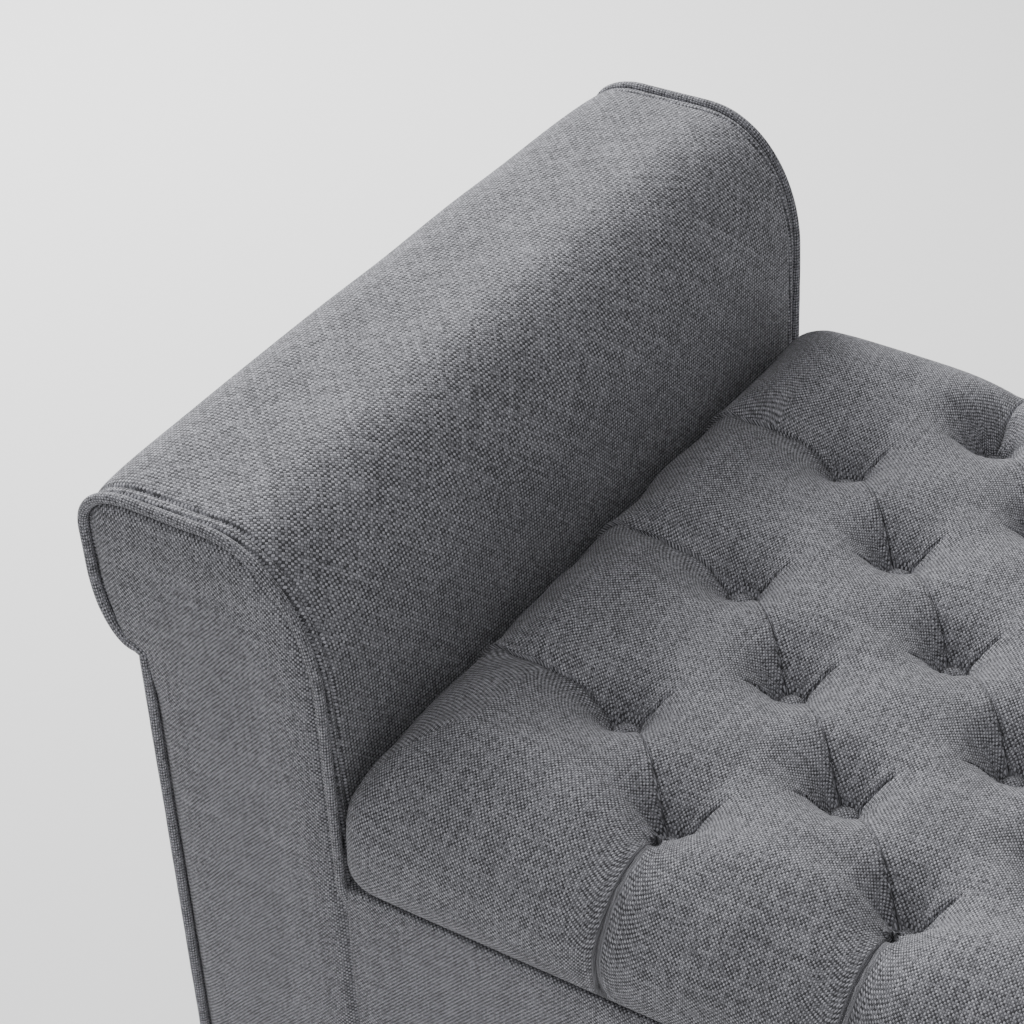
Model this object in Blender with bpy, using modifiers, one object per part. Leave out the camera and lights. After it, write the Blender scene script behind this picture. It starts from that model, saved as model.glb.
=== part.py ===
"""Storage bench: rolled arms, a button-tufted lid hinged at the back and two folding lid stays.

Metres, +Z up, the front at -Y. The origin is on the floor under the middle of the bench.
"""

import math

import bmesh
import bpy
from mathutils import Matrix, Vector

# Clearances
GAP = 0.0003
RUNNING = 0.0003

# Heights
FOOT_HEIGHT = 0.0682
BASE_BOTTOM = 0.0700
BASE_TOP = 0.0850
BOX_RIM = 0.3475
LID_UNDERSIDE = 0.3530
LID_TOP = 0.4500
BUTTON_TOP = 0.4100

# Arms: u runs outwards from the arm's inner face
ARM_INNER = 0.4810
ARM_THICK = 0.1190
ARM_BACK = 0.2445
CORD_Y = 0.2476
CORD_RADIUS = 0.0026
ROLL_CENTRE = (0.0630, 0.4760)
ROLL_RADII = (0.0630, 0.0870)
SHOULDER_CENTRE = (0.1065, 0.5320)
SHOULDER_RADII = (0.0400, 0.0310)
UNDERCUT_CENTRE = (0.1190, 0.5100)
UNDERCUT_RADII = (0.0268, 0.0515)
ROLL_POWER = 2.2
COVER_THICK = 0.0050
FORM_THICK = 0.0030
SCROLL_BOARD = 0.0150
BOARD_INSET = 0.0010
FACING_REACH = 0.0070
CORD_CLEARANCE = 0.0009
PANEL_EDGE = 0.0012
DUST_COVER_INSET = (0.0080, 0.0040)
DUST_COVER_THICK = 0.0015
OUTER_BOARD = 0.0120

# Box
BOX_HALF_WIDTH = 0.4797
BOX_HALF_DEPTH = 0.2392
PANEL = 0.0150
FRONT_COVER_FACE = 0.2470
BACK_COVER_FACE = 0.2465
CORNER_BLOCK = 0.0280
CORNER_BLOCK_HEIGHT = 0.0600
BASE_HALF_WIDTH = 0.5945

# Lid
LID_HALF_WIDTH = 0.4765
LID_FRONT = -0.2585
LID_BACK = 0.2525
LID_BOARD_HALF = (0.4620, 0.2380)
LID_BOARD = 0.0150
LID_CORNER = 0.0280
LID_TOP_ROUND = 0.0260
LID_FOOT_TUCK = 0.0100
LID_BOARD_CORNER = 0.0180
LINING_HALF = (0.4455, 0.2120)
LINING_BOTTOM = 0.3488
LINING_TOP = 0.3502

# Tufting
BUTTON_STEP = 0.0635
BUTTON_ROW = 0.0625
BUTTON_RADIUS = 0.0080
BUTTON_HEIGHT = 0.0070
WELL_RADIUS = 0.0115
WELL_DEPTH = 0.0010
TWINE_RADIUS = 0.0010
TWINE_HOLE = 0.0025
TWINE_BOTTOM = 0.3506
COLUMNS_EACH_SIDE = 6
ROWS_EACH_SIDE = 3

# Hinges: barrel at the back edge, leaves lying in the gap between lid and box
HINGE_Y = 0.2505
HINGE_Z = 0.3501
HINGE_X = 0.3000
HINGE_LENGTH = 0.0600
KNUCKLE_RADIUS = 0.0035
KNUCKLE_SPLIT = 0.0100
PIN_RADIUS = 0.0015
LEAF_THICK = 0.0016
LEAF_FRONT = 0.2245
LEAF_BACK = 0.2463
BOX_LEAF_BOTTOM = 0.3478
LID_LEAF_BOTTOM = 0.3508

# Lid stays: a rhombus of side STAY_LENGTH with corners at the hinge pin, the lid bracket,
# the elbow and the box bracket, so every link turns at a constant ratio to the lid
STAY_LENGTH = 0.1600
STAY_LID_ANGLE = math.radians(4.3)
STAY_BOX_ANGLE = math.radians(74.3)
STAY_WIDTH = 0.0160
STAY_THICK = 0.0020
STUD_RADIUS = 0.0030
STUD_HEAD = 0.0055
STUD_HOLE = 0.0034
STAY_PLATE_X = 0.4644
BOX_BRACKET_HALVES = (0.0140, 0.0260)
LID_TAB_HALVES = (0.0100, 0.0180)
LID_TAB_DROP = 0.0080
FLANGE_WIDTH = 0.0140
LOWER_LINK_X = 0.4610
UPPER_LINK_X = 0.4585
STAY_HEAD_X = 0.4530

# Feet
FOOT_X = 0.5400
FOOT_Y = 0.1950
FOOT_TOP_HALF = 0.0260
FOOT_BOTTOM_HALF = 0.0190

PARTS = "storage_bench"
CUTTERS = "cutters"


def clear_scene():
    for obj in list(bpy.data.objects):
        bpy.data.objects.remove(obj, do_unlink=True)


def make_collection(name):
    collection = bpy.data.collections.new(name)
    bpy.context.scene.collection.children.link(collection)
    return collection


def make_material(name, colour, roughness, metallic=0.0):
    material = bpy.data.materials.new(name)
    material.use_nodes = True
    material.diffuse_color = (*colour, 1.0)
    shader = material.node_tree.nodes["Principled BSDF"]
    shader.inputs["Base Color"].default_value = (*colour, 1.0)
    shader.inputs["Roughness"].default_value = roughness
    shader.inputs["Metallic"].default_value = metallic
    return material


def make_materials():
    return {
        "fabric": make_material("upholstery_fabric", (0.125, 0.133, 0.150), 0.95),
        "cord": make_material("welt_cord_fabric", (0.118, 0.126, 0.142), 0.95),
        "lining": make_material("black_lining", (0.020, 0.020, 0.022), 0.95),
        "plywood": make_material("plywood", (0.560, 0.400, 0.240), 0.70),
        "form": make_material("bent_hardboard", (0.250, 0.155, 0.085), 0.80),
        "foot": make_material("dark_stained_wood", (0.030, 0.018, 0.012), 0.40),
        "steel": make_material("zinc_plated_steel", (0.560, 0.570, 0.580), 0.35, 0.9),
        "button": make_material("button_fabric", (0.115, 0.123, 0.139), 0.95),
    }


def add_object(name, data, material, collection=PARTS):
    obj = bpy.data.objects.new(name, data)
    bpy.data.collections[collection].objects.link(obj)
    if material:
        data.materials.append(material)
    if collection == CUTTERS:
        obj.hide_render = True
        obj.display_type = "WIRE"
    return obj


def mesh_from(bm, name):
    bmesh.ops.recalc_face_normals(bm, faces=bm.faces)
    mesh = bpy.data.meshes.new(name)
    bm.to_mesh(mesh)
    bm.free()
    return mesh


def add_cube(bm, low, high):
    """A box between two corners, added to a mesh under construction."""
    low = Vector(low)
    high = Vector(high)
    size = high - low
    place = Matrix.Translation((low + high) / 2) @ Matrix.Diagonal((*size, 1.0))
    return bmesh.ops.create_cube(bm, size=1.0, matrix=place)["verts"]


def box(name, low, high, material, edge=0.0, collection=PARTS):
    bm = bmesh.new()
    add_cube(bm, low, high)
    obj = add_object(name, mesh_from(bm, name), material, collection)
    if edge:
        bevel = obj.modifiers.new("edges", "BEVEL")
        bevel.width = edge
        bevel.segments = 1
    return obj


def sided_box(name, side, inner, outer, y_range, z_range, material):
    """A box on the left (side -1) or right (side 1), given by its distances from the middle."""
    xs = sorted((side * inner, side * outer))
    low = (xs[0], y_range[0], z_range[0])
    high = (xs[1], y_range[1], z_range[1])
    return box(name, low, high, material)


def evaluated_mesh(obj, name):
    """The object's shape with its modifiers or bevel applied, its loose caps welded on."""
    bpy.context.view_layer.update()
    graph = bpy.context.evaluated_depsgraph_get()
    mesh = bpy.data.meshes.new_from_object(obj.evaluated_get(graph))
    mesh.name = name
    bm = bmesh.new()
    bm.from_mesh(mesh)
    bmesh.ops.remove_doubles(bm, verts=bm.verts, dist=1e-6)
    bmesh.ops.recalc_face_normals(bm, faces=bm.faces)
    bm.to_mesh(mesh)
    bm.free()
    return mesh


def turned_mesh(name, profile, steps):
    """A closed turned solid: (radius, height) points, top to bottom, swept round Z."""
    mesh = bpy.data.meshes.new(name)
    points = [(radius, 0.0, height) for radius, height in profile]
    mesh.from_pydata(points, [(i, i + 1) for i in range(len(points) - 1)], [])
    obj = add_object(name, mesh, None, CUTTERS)
    screw = obj.modifiers.new("turn", "SCREW")
    screw.steps = steps
    screw.render_steps = steps
    screw.use_merge_vertices = True
    screw.merge_threshold = 0.0001
    turned = evaluated_mesh(obj, name)
    bpy.data.objects.remove(obj)
    bpy.data.meshes.remove(mesh)
    return turned


def combine(obj, other, operation):
    """Boolean with a piece that is kept in the cutters collection."""
    boolean = obj.modifiers.new(operation.lower(), "BOOLEAN")
    boolean.operation = operation
    boolean.solver = "EXACT"
    boolean.object = other


def outline_curve(name, outlines, half_thick):
    """A flat filled outline, extruded both ways by half its thickness. Inner outlines are holes."""
    curve = bpy.data.curves.new(name, "CURVE")
    curve.dimensions = "2D"
    curve.fill_mode = "BOTH"
    curve.extrude = half_thick
    for outline in outlines:
        spline = curve.splines.new("POLY")
        spline.points.add(len(outline) - 1)
        for point, (across, up) in zip(spline.points, outline):
            point.co = (across, up, 0.0, 1.0)
        spline.use_cyclic_u = True
    return curve


def plate_along_y(name, outline, y_low, y_high, material):
    """An outline drawn in XZ, as thick as the stretch of Y that it fills."""
    curve = outline_curve(name, [outline], (y_high - y_low) / 2)
    obj = add_object(name, curve, material)
    obj.location = (0.0, (y_low + y_high) / 2, 0.0)
    obj.rotation_euler = (math.radians(90.0), 0.0, 0.0)
    return obj


def plate_along_x(name, outlines, x_low, x_high, material):
    """Outlines drawn in YZ, as thick as the stretch of X that they fill, made a mesh."""
    curve = outline_curve(name, outlines, (x_high - x_low) / 2)
    guide = add_object(name + "_outline", curve, None, CUTTERS)
    across = Matrix(((0.0, 0.0, 1.0), (1.0, 0.0, 0.0), (0.0, 1.0, 0.0))).to_4x4()
    guide.matrix_world = Matrix.Translation(((x_low + x_high) / 2, 0.0, 0.0)) @ across
    mesh = evaluated_mesh(guide, name)
    mesh.transform(guide.matrix_world)
    bpy.data.objects.remove(guide)
    bpy.data.curves.remove(curve)
    return add_object(name, mesh, material)


def arc(centre, radii, start, end, steps, power=2.0):
    """Points on a rounded quarter or more, from one angle to another in degrees."""
    points = []
    for i in range(steps + 1):
        angle = math.radians(start + (end - start) * i / steps)
        across = math.copysign(abs(math.cos(angle)) ** (2.0 / power), math.cos(angle))
        up = math.copysign(abs(math.sin(angle)) ** (2.0 / power), math.sin(angle))
        points.append((centre[0] + radii[0] * across, centre[1] + radii[1] * up))
    return points


def grown(radii, offset):
    return (radii[0] + offset, radii[1] + offset)


def arm_line(offset, bottom):
    """The arm's section, from the foot of its inner face over the roll to the crease under it.

    Points are (u, z). A positive offset stands the line proud of the arm's surface.
    """
    line = [(-offset, bottom)]
    line += arc(ROLL_CENTRE, grown(ROLL_RADII, offset), 180.0, 90.0, 7, ROLL_POWER)
    line += arc(SHOULDER_CENTRE, grown(SHOULDER_RADII, offset), 90.0, 0.0, 5, ROLL_POWER)
    line += arc(UNDERCUT_CENTRE, grown(UNDERCUT_RADII, offset), 0.0, -90.0, 5)
    return line


def arm_outline(offset, bottom):
    """The whole section of the arm, closed down its outer face."""
    line = arm_line(offset, bottom)
    outer = ARM_THICK + offset
    return line + [(outer, line[-1][1]), (outer, bottom)]


def arm_shell(outer_offset, thick, bottom):
    """The section of a layer that wraps the inner face and the roll."""
    return arm_line(outer_offset, bottom) + arm_line(outer_offset - thick, bottom)[::-1]


def on_side(side, outline):
    return [(side * (ARM_INNER + u), z) for u, z in outline]


def arm_boards(side, name, materials):
    """Scroll boards at the front and back, the bent form round them and the outer board."""
    layer = COVER_THICK + GAP
    bottom = BASE_TOP + GAP
    scroll = on_side(side, arm_outline(-layer - FORM_THICK - GAP, bottom))
    face = ARM_BACK - BOARD_INSET
    inner = face - SCROLL_BOARD
    plate_along_y(name + "_arm_front_board", scroll, -face, -inner, materials["plywood"])
    plate_along_y(name + "_arm_back_board", scroll, inner, face, materials["plywood"])
    form = on_side(side, arm_shell(-layer, FORM_THICK, bottom))
    plate_along_y(name + "_arm_roll_form", form, -face, face, materials["form"])
    outer = ARM_INNER + ARM_THICK - COVER_THICK - GAP
    sided_box(
        name + "_arm_outer_board",
        side,
        outer - OUTER_BOARD,
        outer,
        (-inner + GAP, inner - GAP),
        (bottom, UNDERCUT_CENTRE[1] - UNDERCUT_RADII[1] - COVER_THICK),
        materials["plywood"],
    )


def arm_covers(side, name, materials):
    """Foam and fabric over the arm: the roll, the outer face and the two scroll facings."""
    cover = on_side(side, arm_shell(0.0, COVER_THICK, BASE_TOP + GAP))
    plate_along_y(name + "_arm_cover", cover, -ARM_BACK, ARM_BACK, materials["fabric"])
    crease = UNDERCUT_CENTRE[1] - UNDERCUT_RADII[1]
    sided_box(
        name + "_arm_outer_cover",
        side,
        ARM_INNER + ARM_THICK - COVER_THICK,
        ARM_INNER + ARM_THICK,
        (-ARM_BACK, ARM_BACK),
        (BASE_BOTTOM, crease - BOARD_INSET),
        materials["fabric"],
    )
    facing = on_side(side, arm_outline(-CORD_RADIUS - CORD_CLEARANCE, BASE_BOTTOM))
    near = ARM_BACK + GAP
    far = ARM_BACK + FACING_REACH
    plate_along_y(name + "_arm_front_facing", facing, -far, -near, materials["fabric"])
    plate_along_y(name + "_arm_back_facing", facing, near, far, materials["fabric"])


def arm_piping(side, name, end, y, materials):
    """The welt cord round one facing, from the floor of the inner face to that of the outer."""
    line = arm_line(0.0, BASE_BOTTOM + CORD_RADIUS)
    line.append((ARM_THICK, BASE_BOTTOM + CORD_RADIUS))
    curve = bpy.data.curves.new(f"{name}_arm_{end}_piping", "CURVE")
    curve.dimensions = "3D"
    curve.bevel_depth = CORD_RADIUS
    curve.bevel_resolution = 2
    curve.use_fill_caps = True
    spline = curve.splines.new("POLY")
    points = on_side(side, line)
    spline.points.add(len(points) - 1)
    for point, (x, z) in zip(spline.points, points):
        point.co = (x, y, z, 1.0)
    return add_object(curve.name, curve, materials["cord"])


def build_arm(side, name, materials):
    arm_boards(side, name, materials)
    arm_covers(side, name, materials)
    arm_piping(side, name, "front", -CORD_Y, materials)
    arm_piping(side, name, "back", CORD_Y, materials)


def build_box(materials):
    wood = materials["plywood"]
    fabric = materials["fabric"]
    wide = BOX_HALF_WIDTH
    deep = BOX_HALF_DEPTH
    floor = BASE_TOP + GAP
    inside = deep - PANEL
    box("front_panel", (-wide, -deep, floor), (wide, -inside, BOX_RIM), wood)
    box("back_panel", (-wide, inside, floor), (wide, deep, BOX_RIM), wood)
    for side, name in ((-1, "left"), (1, "right")):
        span = (-inside + GAP, inside - GAP)
        height = (floor, BOX_RIM)
        sided_box(name + "_end_panel", side, wide - PANEL, wide, span, height, wood)
    base_low = (-BASE_HALF_WIDTH, -deep, BASE_BOTTOM)
    base_high = (BASE_HALF_WIDTH, deep, BASE_TOP)
    box("base_board", base_low, base_high, wood)
    dust_x, dust_y = BASE_HALF_WIDTH - DUST_COVER_INSET[0], deep - DUST_COVER_INSET[1]
    dust_low = (-dust_x, -dust_y, BASE_BOTTOM - DUST_COVER_THICK)
    dust_high = (dust_x, dust_y, BASE_BOTTOM - GAP)
    box("dust_cover", dust_low, dust_high, materials["lining"])
    cover = ARM_INNER - CORD_RADIUS - CORD_CLEARANCE
    front_low = (-cover, -FRONT_COVER_FACE, BASE_BOTTOM)
    front_high = (cover, -deep - GAP, BOX_RIM + 0.0010)
    box("front_cover", front_low, front_high, fabric, PANEL_EDGE)
    back_low = (-cover, deep + GAP, BASE_BOTTOM)
    back_high = (cover, BACK_COVER_FACE, BOX_RIM - 0.0005)
    box("back_cover", back_low, back_high, fabric, PANEL_EDGE)


def build_corner_blocks(materials):
    """Three-sided glue blocks in the bottom corners of the box."""
    corner_x = BOX_HALF_WIDTH - PANEL - GAP
    corner_y = BOX_HALF_DEPTH - PANEL - GAP
    low = BASE_TOP + GAP
    for side, across in ((-1, "left"), (1, "right")):
        for end, along in ((-1, "front"), (1, "back")):
            outline = [
                (side * corner_x, end * corner_y),
                (side * (corner_x - CORNER_BLOCK), end * corner_y),
                (side * corner_x, end * (corner_y - CORNER_BLOCK)),
            ]
            name = f"corner_block_{along}_{across}"
            curve = outline_curve(name, [outline], CORNER_BLOCK_HEIGHT / 2)
            block = add_object(name, curve, materials["plywood"])
            block.location = (0.0, 0.0, low + CORNER_BLOCK_HEIGHT / 2)


def build_feet(materials):
    """Square tapered feet under the four corners."""
    for side, across in ((-1, "left"), (1, "right")):
        for end, along in ((-1, "front"), (1, "back")):
            name = f"foot_{along}_{across}"
            bm = bmesh.new()
            low = (-FOOT_TOP_HALF, -FOOT_TOP_HALF, 0.0)
            verts = add_cube(bm, low, (FOOT_TOP_HALF, FOOT_TOP_HALF, FOOT_HEIGHT))
            taper = FOOT_BOTTOM_HALF / FOOT_TOP_HALF
            for vert in verts:
                if vert.co.z < FOOT_HEIGHT / 2:
                    vert.co.x *= taper
                    vert.co.y *= taper
            foot = add_object(name, mesh_from(bm, name), materials["foot"])
            foot.location = (side * FOOT_X, end * FOOT_Y, 0.0)
            bevel = foot.modifiers.new("edges", "BEVEL")
            bevel.width = 0.0020
            bevel.segments = 2


def tufting_grid():
    """Button places row by row: (row, y, xs). Neighbouring rows are half a step apart."""
    rows = []
    for row in range(-ROWS_EACH_SIDE, ROWS_EACH_SIDE + 1):
        columns = range(-COLUMNS_EACH_SIDE, COLUMNS_EACH_SIDE + 1)
        xs = [column * BUTTON_STEP for column in columns if (column + row) % 2 == 0]
        rows.append((row, row * BUTTON_ROW, xs))
    return rows


def copies_mesh(name, shape, places):
    """One mesh that holds a copy of the shape at each (x, y)."""
    bm = bmesh.new()
    for x, y in places:
        start = len(bm.verts)
        bm.from_mesh(shape)
        bm.verts.ensure_lookup_table()
        bmesh.ops.translate(bm, vec=(x, y, 0.0), verts=bm.verts[start:])
    return mesh_from(bm, name)


def hole_cutter(name, profile, sides):
    places = [(x, y) for _, y, xs in tufting_grid() for x in xs]
    shape = turned_mesh(name + "_shape", profile, sides)
    return add_object(name, copies_mesh(name, shape, places), None, CUTTERS)


def build_buttons(lid_axis, materials):
    """Each row of covered buttons is tied by one twine that runs along under the lid board."""
    neck = BUTTON_TOP - BUTTON_HEIGHT
    profile = [
        (0.0, BUTTON_TOP),
        (BUTTON_RADIUS * 0.66, BUTTON_TOP - 0.0009),
        (BUTTON_RADIUS, BUTTON_TOP - 0.0034),
        (BUTTON_RADIUS * 0.94, neck),
        (TWINE_RADIUS, neck),
        (TWINE_RADIUS, TWINE_BOTTOM + 0.0002),
        (0.0, TWINE_BOTTOM + 0.0002),
    ]
    shape = turned_mesh("button_shape", profile, 8)
    for number, (_, y, xs) in enumerate(tufting_grid(), 1):
        name = f"button_row_{number}"
        end = xs[-1] + 2 * TWINE_RADIUS
        low = (-end, y - TWINE_RADIUS * 1.2, TWINE_BOTTOM)
        high = (end, y + TWINE_RADIUS * 1.2, TWINE_BOTTOM + 2 * TWINE_RADIUS)
        row = box(name, low, high, materials["button"])
        buttons = copies_mesh(name + "_buttons", shape, [(x, y) for x in xs])
        combine(row, add_object(name + "_buttons", buttons, None, CUTTERS), "UNION")
        hang_on(row, lid_axis)


def round_corners(bm, radius):
    """Rounds the upright edges of a box under construction."""
    upright = [e for e in bm.edges if abs(e.verts[0].co.z - e.verts[1].co.z) > 0.001]
    bmesh.ops.bevel(bm, geom=upright, offset=radius, segments=3, profile=0.5, affect="EDGES")


def rounded_slab(name, low, high, corner, material, collection=PARTS):
    bm = bmesh.new()
    add_cube(bm, low, high)
    round_corners(bm, corner)
    return add_object(name, mesh_from(bm, name), material, collection)


def lid_cushion_block():
    """The lid's padded outer form: rounded corners, a deep round top edge, a tucked lower edge."""
    bm = bmesh.new()
    low = (-LID_HALF_WIDTH, LID_FRONT, LID_UNDERSIDE)
    add_cube(bm, low, (LID_HALF_WIDTH, LID_BACK, LID_TOP))
    round_corners(bm, LID_CORNER)
    top = [e for e in bm.edges if min(v.co.z for v in e.verts) > LID_TOP - 0.001]
    bmesh.ops.bevel(
        bm, geom=top, offset=LID_TOP_ROUND, segments=3, profile=0.5, affect="EDGES"
    )
    foot = [e for e in bm.edges if max(v.co.z for v in e.verts) < LID_UNDERSIDE + 0.001]
    bmesh.ops.bevel(
        bm, geom=foot, offset=LID_FOOT_TUCK, segments=1, profile=0.5, affect="EDGES"
    )
    return mesh_from(bm, "lid_cushion")


def hang_on(obj, pivot):
    """Parents a piece to the empty on its joint's axis, without moving it."""
    obj.parent = pivot
    obj.matrix_parent_inverse = pivot.matrix_world.inverted()


def pivot_empty(name, place, parent=None):
    empty = bpy.data.objects.new(name, None)
    bpy.data.collections[PARTS].objects.link(empty)
    empty.empty_display_size = 0.02
    empty.location = place
    bpy.context.view_layer.update()
    if parent:
        hang_on(empty, parent)
        bpy.context.view_layer.update()
    return empty


def build_lid(lid_axis, materials):
    wide, deep = LID_BOARD_HALF
    board_top = LID_UNDERSIDE + LID_BOARD
    low = (-wide, -deep, LID_UNDERSIDE)
    wood = materials["plywood"]
    board = rounded_slab("lid_board", low, (wide, deep, board_top), LID_BOARD_CORNER, wood)
    drill = [(0.0, board_top + 0.002), (TWINE_HOLE, board_top + 0.002)]
    drill += [(TWINE_HOLE, LID_UNDERSIDE - 0.002), (0.0, LID_UNDERSIDE - 0.002)]
    combine(board, hole_cutter("lid_board_holes", drill, 6), "DIFFERENCE")

    cushion = add_object("lid_cushion", lid_cushion_block(), materials["fabric"])
    room = GAP + 0.0001
    recess_low = (-wide - room, -deep - room, LID_UNDERSIDE - 0.005)
    recess_high = (wide + room, deep + room, board_top + room)
    corner = LID_BOARD_CORNER
    recess = rounded_slab("lid_board_recess", recess_low, recess_high, corner, None, CUTTERS)
    combine(cushion, recess, "DIFFERENCE")
    well_floor = BUTTON_TOP - BUTTON_HEIGHT - WELL_DEPTH
    well = [(0.0, LID_TOP + 0.005), (WELL_RADIUS, LID_TOP + 0.005), (WELL_RADIUS, well_floor)]
    well += [(TWINE_HOLE, well_floor), (TWINE_HOLE, board_top - 0.003), (0.0, board_top - 0.003)]
    combine(cushion, hole_cutter("button_wells", well, 8), "DIFFERENCE")

    wide, deep = LINING_HALF
    lining = box(
        "lid_lining", (-wide, -deep, LINING_BOTTOM), (wide, deep, LINING_TOP), materials["lining"]
    )
    for piece in (board, cushion, lining):
        hang_on(piece, lid_axis)


def barrel(name, x_low, x_high, radius, y, z, sides=12):
    """A cylinder along X, used to join or cut."""
    bm = bmesh.new()
    middle = Matrix.Translation(((x_low + x_high) / 2, y, z))
    turn = Matrix.Rotation(math.radians(90.0), 4, "Y")
    bmesh.ops.create_cone(
        bm,
        cap_ends=True,
        segments=sides,
        radius1=radius,
        radius2=radius,
        depth=x_high - x_low,
        matrix=middle @ turn,
    )
    return add_object(name, mesh_from(bm, name), None, CUTTERS)


def hinge_leaf(name, x, bottom, tongues, materials):
    """A flat leaf with a tongue reaching to each of its knuckles on the barrel."""
    half = HINGE_LENGTH / 2
    top = bottom + LEAF_THICK
    leaf = box(name, (x - half, LEAF_FRONT, bottom), (x + half, LEAF_BACK, top), materials["steel"])
    for number, (start, end) in enumerate(tongues):
        low = (x + start, LEAF_BACK - 0.002, bottom)
        high = (x + end, HINGE_Y, top)
        tongue = box(f"{name}_tongue_{number}", low, high, None, collection=CUTTERS)
        combine(leaf, tongue, "UNION")
        knuckle_name = f"{name}_knuckle_{number}"
        knuckle = barrel(knuckle_name, x + start, x + end, KNUCKLE_RADIUS, HINGE_Y, HINGE_Z)
        combine(leaf, knuckle, "UNION")
    return leaf


def build_hinge(number, x, lid_axis, materials):
    """A butt hinge: the pin is fast in the box leaf and the lid leaf turns on it."""
    half = HINGE_LENGTH / 2
    outer = [(-half, -KNUCKLE_SPLIT), (KNUCKLE_SPLIT, half)]
    middle = [(-KNUCKLE_SPLIT + GAP, KNUCKLE_SPLIT - GAP)]
    box_leaf = hinge_leaf(f"hinge_{number}_box_leaf", x, BOX_LEAF_BOTTOM, outer, materials)
    pin_low = x - half + 0.001
    pin_high = x + half - 0.001
    pin = barrel(f"hinge_{number}_pin", pin_low, pin_high, PIN_RADIUS, HINGE_Y, HINGE_Z)
    combine(box_leaf, pin, "UNION")
    lid_leaf = hinge_leaf(f"hinge_{number}_lid_leaf", x, LID_LEAF_BOTTOM, middle, materials)
    bore_radius = PIN_RADIUS + RUNNING
    bore = barrel(f"hinge_{number}_bore", x - half, x + half, bore_radius, HINGE_Y, HINGE_Z)
    combine(lid_leaf, bore, "DIFFERENCE")
    hang_on(lid_leaf, lid_axis)


def stay_corner(angle):
    """A corner of the stay's rhombus, STAY_LENGTH from the hinge pin, at an angle below the front."""
    y = HINGE_Y - STAY_LENGTH * math.cos(angle)
    return (y, HINGE_Z - STAY_LENGTH * math.sin(angle))


def bar_outline(start, end, half):
    """A flat bar with round ends, in YZ."""
    along = math.degrees(math.atan2(end[1] - start[1], end[0] - start[0]))
    points = arc(end, (half, half), along - 90.0, along + 90.0, 6)
    return points + arc(start, (half, half), along + 90.0, along + 270.0, 6)


def hole_outline(centre, radius):
    return arc(centre, (radius, radius), 0.0, 330.0, 11)


def add_stud(piece, side, centre, near, far):
    """A riveted stud from a plate towards the middle of the bench, with a flat head."""
    xs = sorted((side * near, side * far))
    shank = barrel(piece.name + "_shank", xs[0], xs[1], STUD_RADIUS, *centre)
    combine(piece, shank, "UNION")
    heads = sorted((side * far, side * (far + 0.0020)))
    head = barrel(piece.name + "_head", heads[0], heads[1], STUD_HEAD, *centre)
    combine(piece, head, "UNION")


def build_stay(side, name, lid_axis, materials):
    steel = materials["steel"]
    lid_end = stay_corner(STAY_LID_ANGLE)
    box_end = stay_corner(STAY_BOX_ANGLE)
    elbow = (box_end[0] + lid_end[0] - HINGE_Y, box_end[1] + lid_end[1] - HINGE_Z)
    half = STAY_WIDTH / 2

    def span(outer, thick):
        return sorted((side * outer, side * (outer - thick)))

    across, up = BOX_BRACKET_HALVES
    plate = [
        (box_end[0] - across, box_end[1] - up),
        (box_end[0] + across, box_end[1] - up),
        (box_end[0] + across, box_end[1] + up),
        (box_end[0] - across, box_end[1] + up),
    ]
    bracket = plate_along_x(
        name + "_stay_box_bracket", [plate], *span(STAY_PLATE_X, STAY_THICK), steel
    )
    stud_start = STAY_PLATE_X - STAY_THICK / 2
    add_stud(bracket, side, box_end, stud_start, UPPER_LINK_X - STAY_THICK - 0.0005)

    lower = plate_along_x(
        name + "_stay_lower_link",
        [bar_outline(box_end, elbow, half), hole_outline(box_end, STUD_HOLE)],
        *span(LOWER_LINK_X, STAY_THICK),
        steel,
    )
    add_stud(lower, side, elbow, LOWER_LINK_X - STAY_THICK / 2, STAY_HEAD_X)
    box_pivot = pivot_empty(name + "_stay_box_pivot", (side * LOWER_LINK_X, *box_end))
    hang_on(lower, box_pivot)

    upper = plate_along_x(
        name + "_stay_upper_link",
        [
            bar_outline(elbow, lid_end, half),
            hole_outline(elbow, STUD_HOLE),
            hole_outline(lid_end, STUD_HOLE),
        ],
        *span(UPPER_LINK_X, STAY_THICK),
        steel,
    )
    elbow_pivot = pivot_empty(name + "_stay_elbow", (side * UPPER_LINK_X, *elbow), box_pivot)
    hang_on(upper, elbow_pivot)

    flange_top = LID_LEAF_BOTTOM + LEAF_THICK
    narrow, broad = LID_TAB_HALVES
    tab = [
        (lid_end[0] - narrow, lid_end[1] - LID_TAB_DROP),
        (lid_end[0] + narrow, lid_end[1] - LID_TAB_DROP),
        (lid_end[0] + broad, flange_top),
        (lid_end[0] - broad, flange_top),
    ]
    lid_bracket = plate_along_x(
        name + "_stay_lid_bracket", [tab], *span(LOWER_LINK_X, STAY_THICK), steel
    )
    flange_xs = span(LOWER_LINK_X, FLANGE_WIDTH)
    flange_low = (flange_xs[0], lid_end[0] - broad, LID_LEAF_BOTTOM)
    flange_high = (flange_xs[1], lid_end[0] + broad, flange_top)
    flange = box(lid_bracket.name + "_flange", flange_low, flange_high, None, collection=CUTTERS)
    combine(lid_bracket, flange, "UNION")
    add_stud(lid_bracket, side, lid_end, LOWER_LINK_X - STAY_THICK / 2, STAY_HEAD_X)
    hang_on(lid_bracket, lid_axis)


def shade_parts():
    """Round pieces are smooth, with their edges kept sharp."""
    for obj in bpy.data.collections[PARTS].objects:
        if obj.type == "MESH":
            obj.data.shade_smooth()
            obj.data.set_sharp_from_angle(angle=math.radians(35.0))


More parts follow.
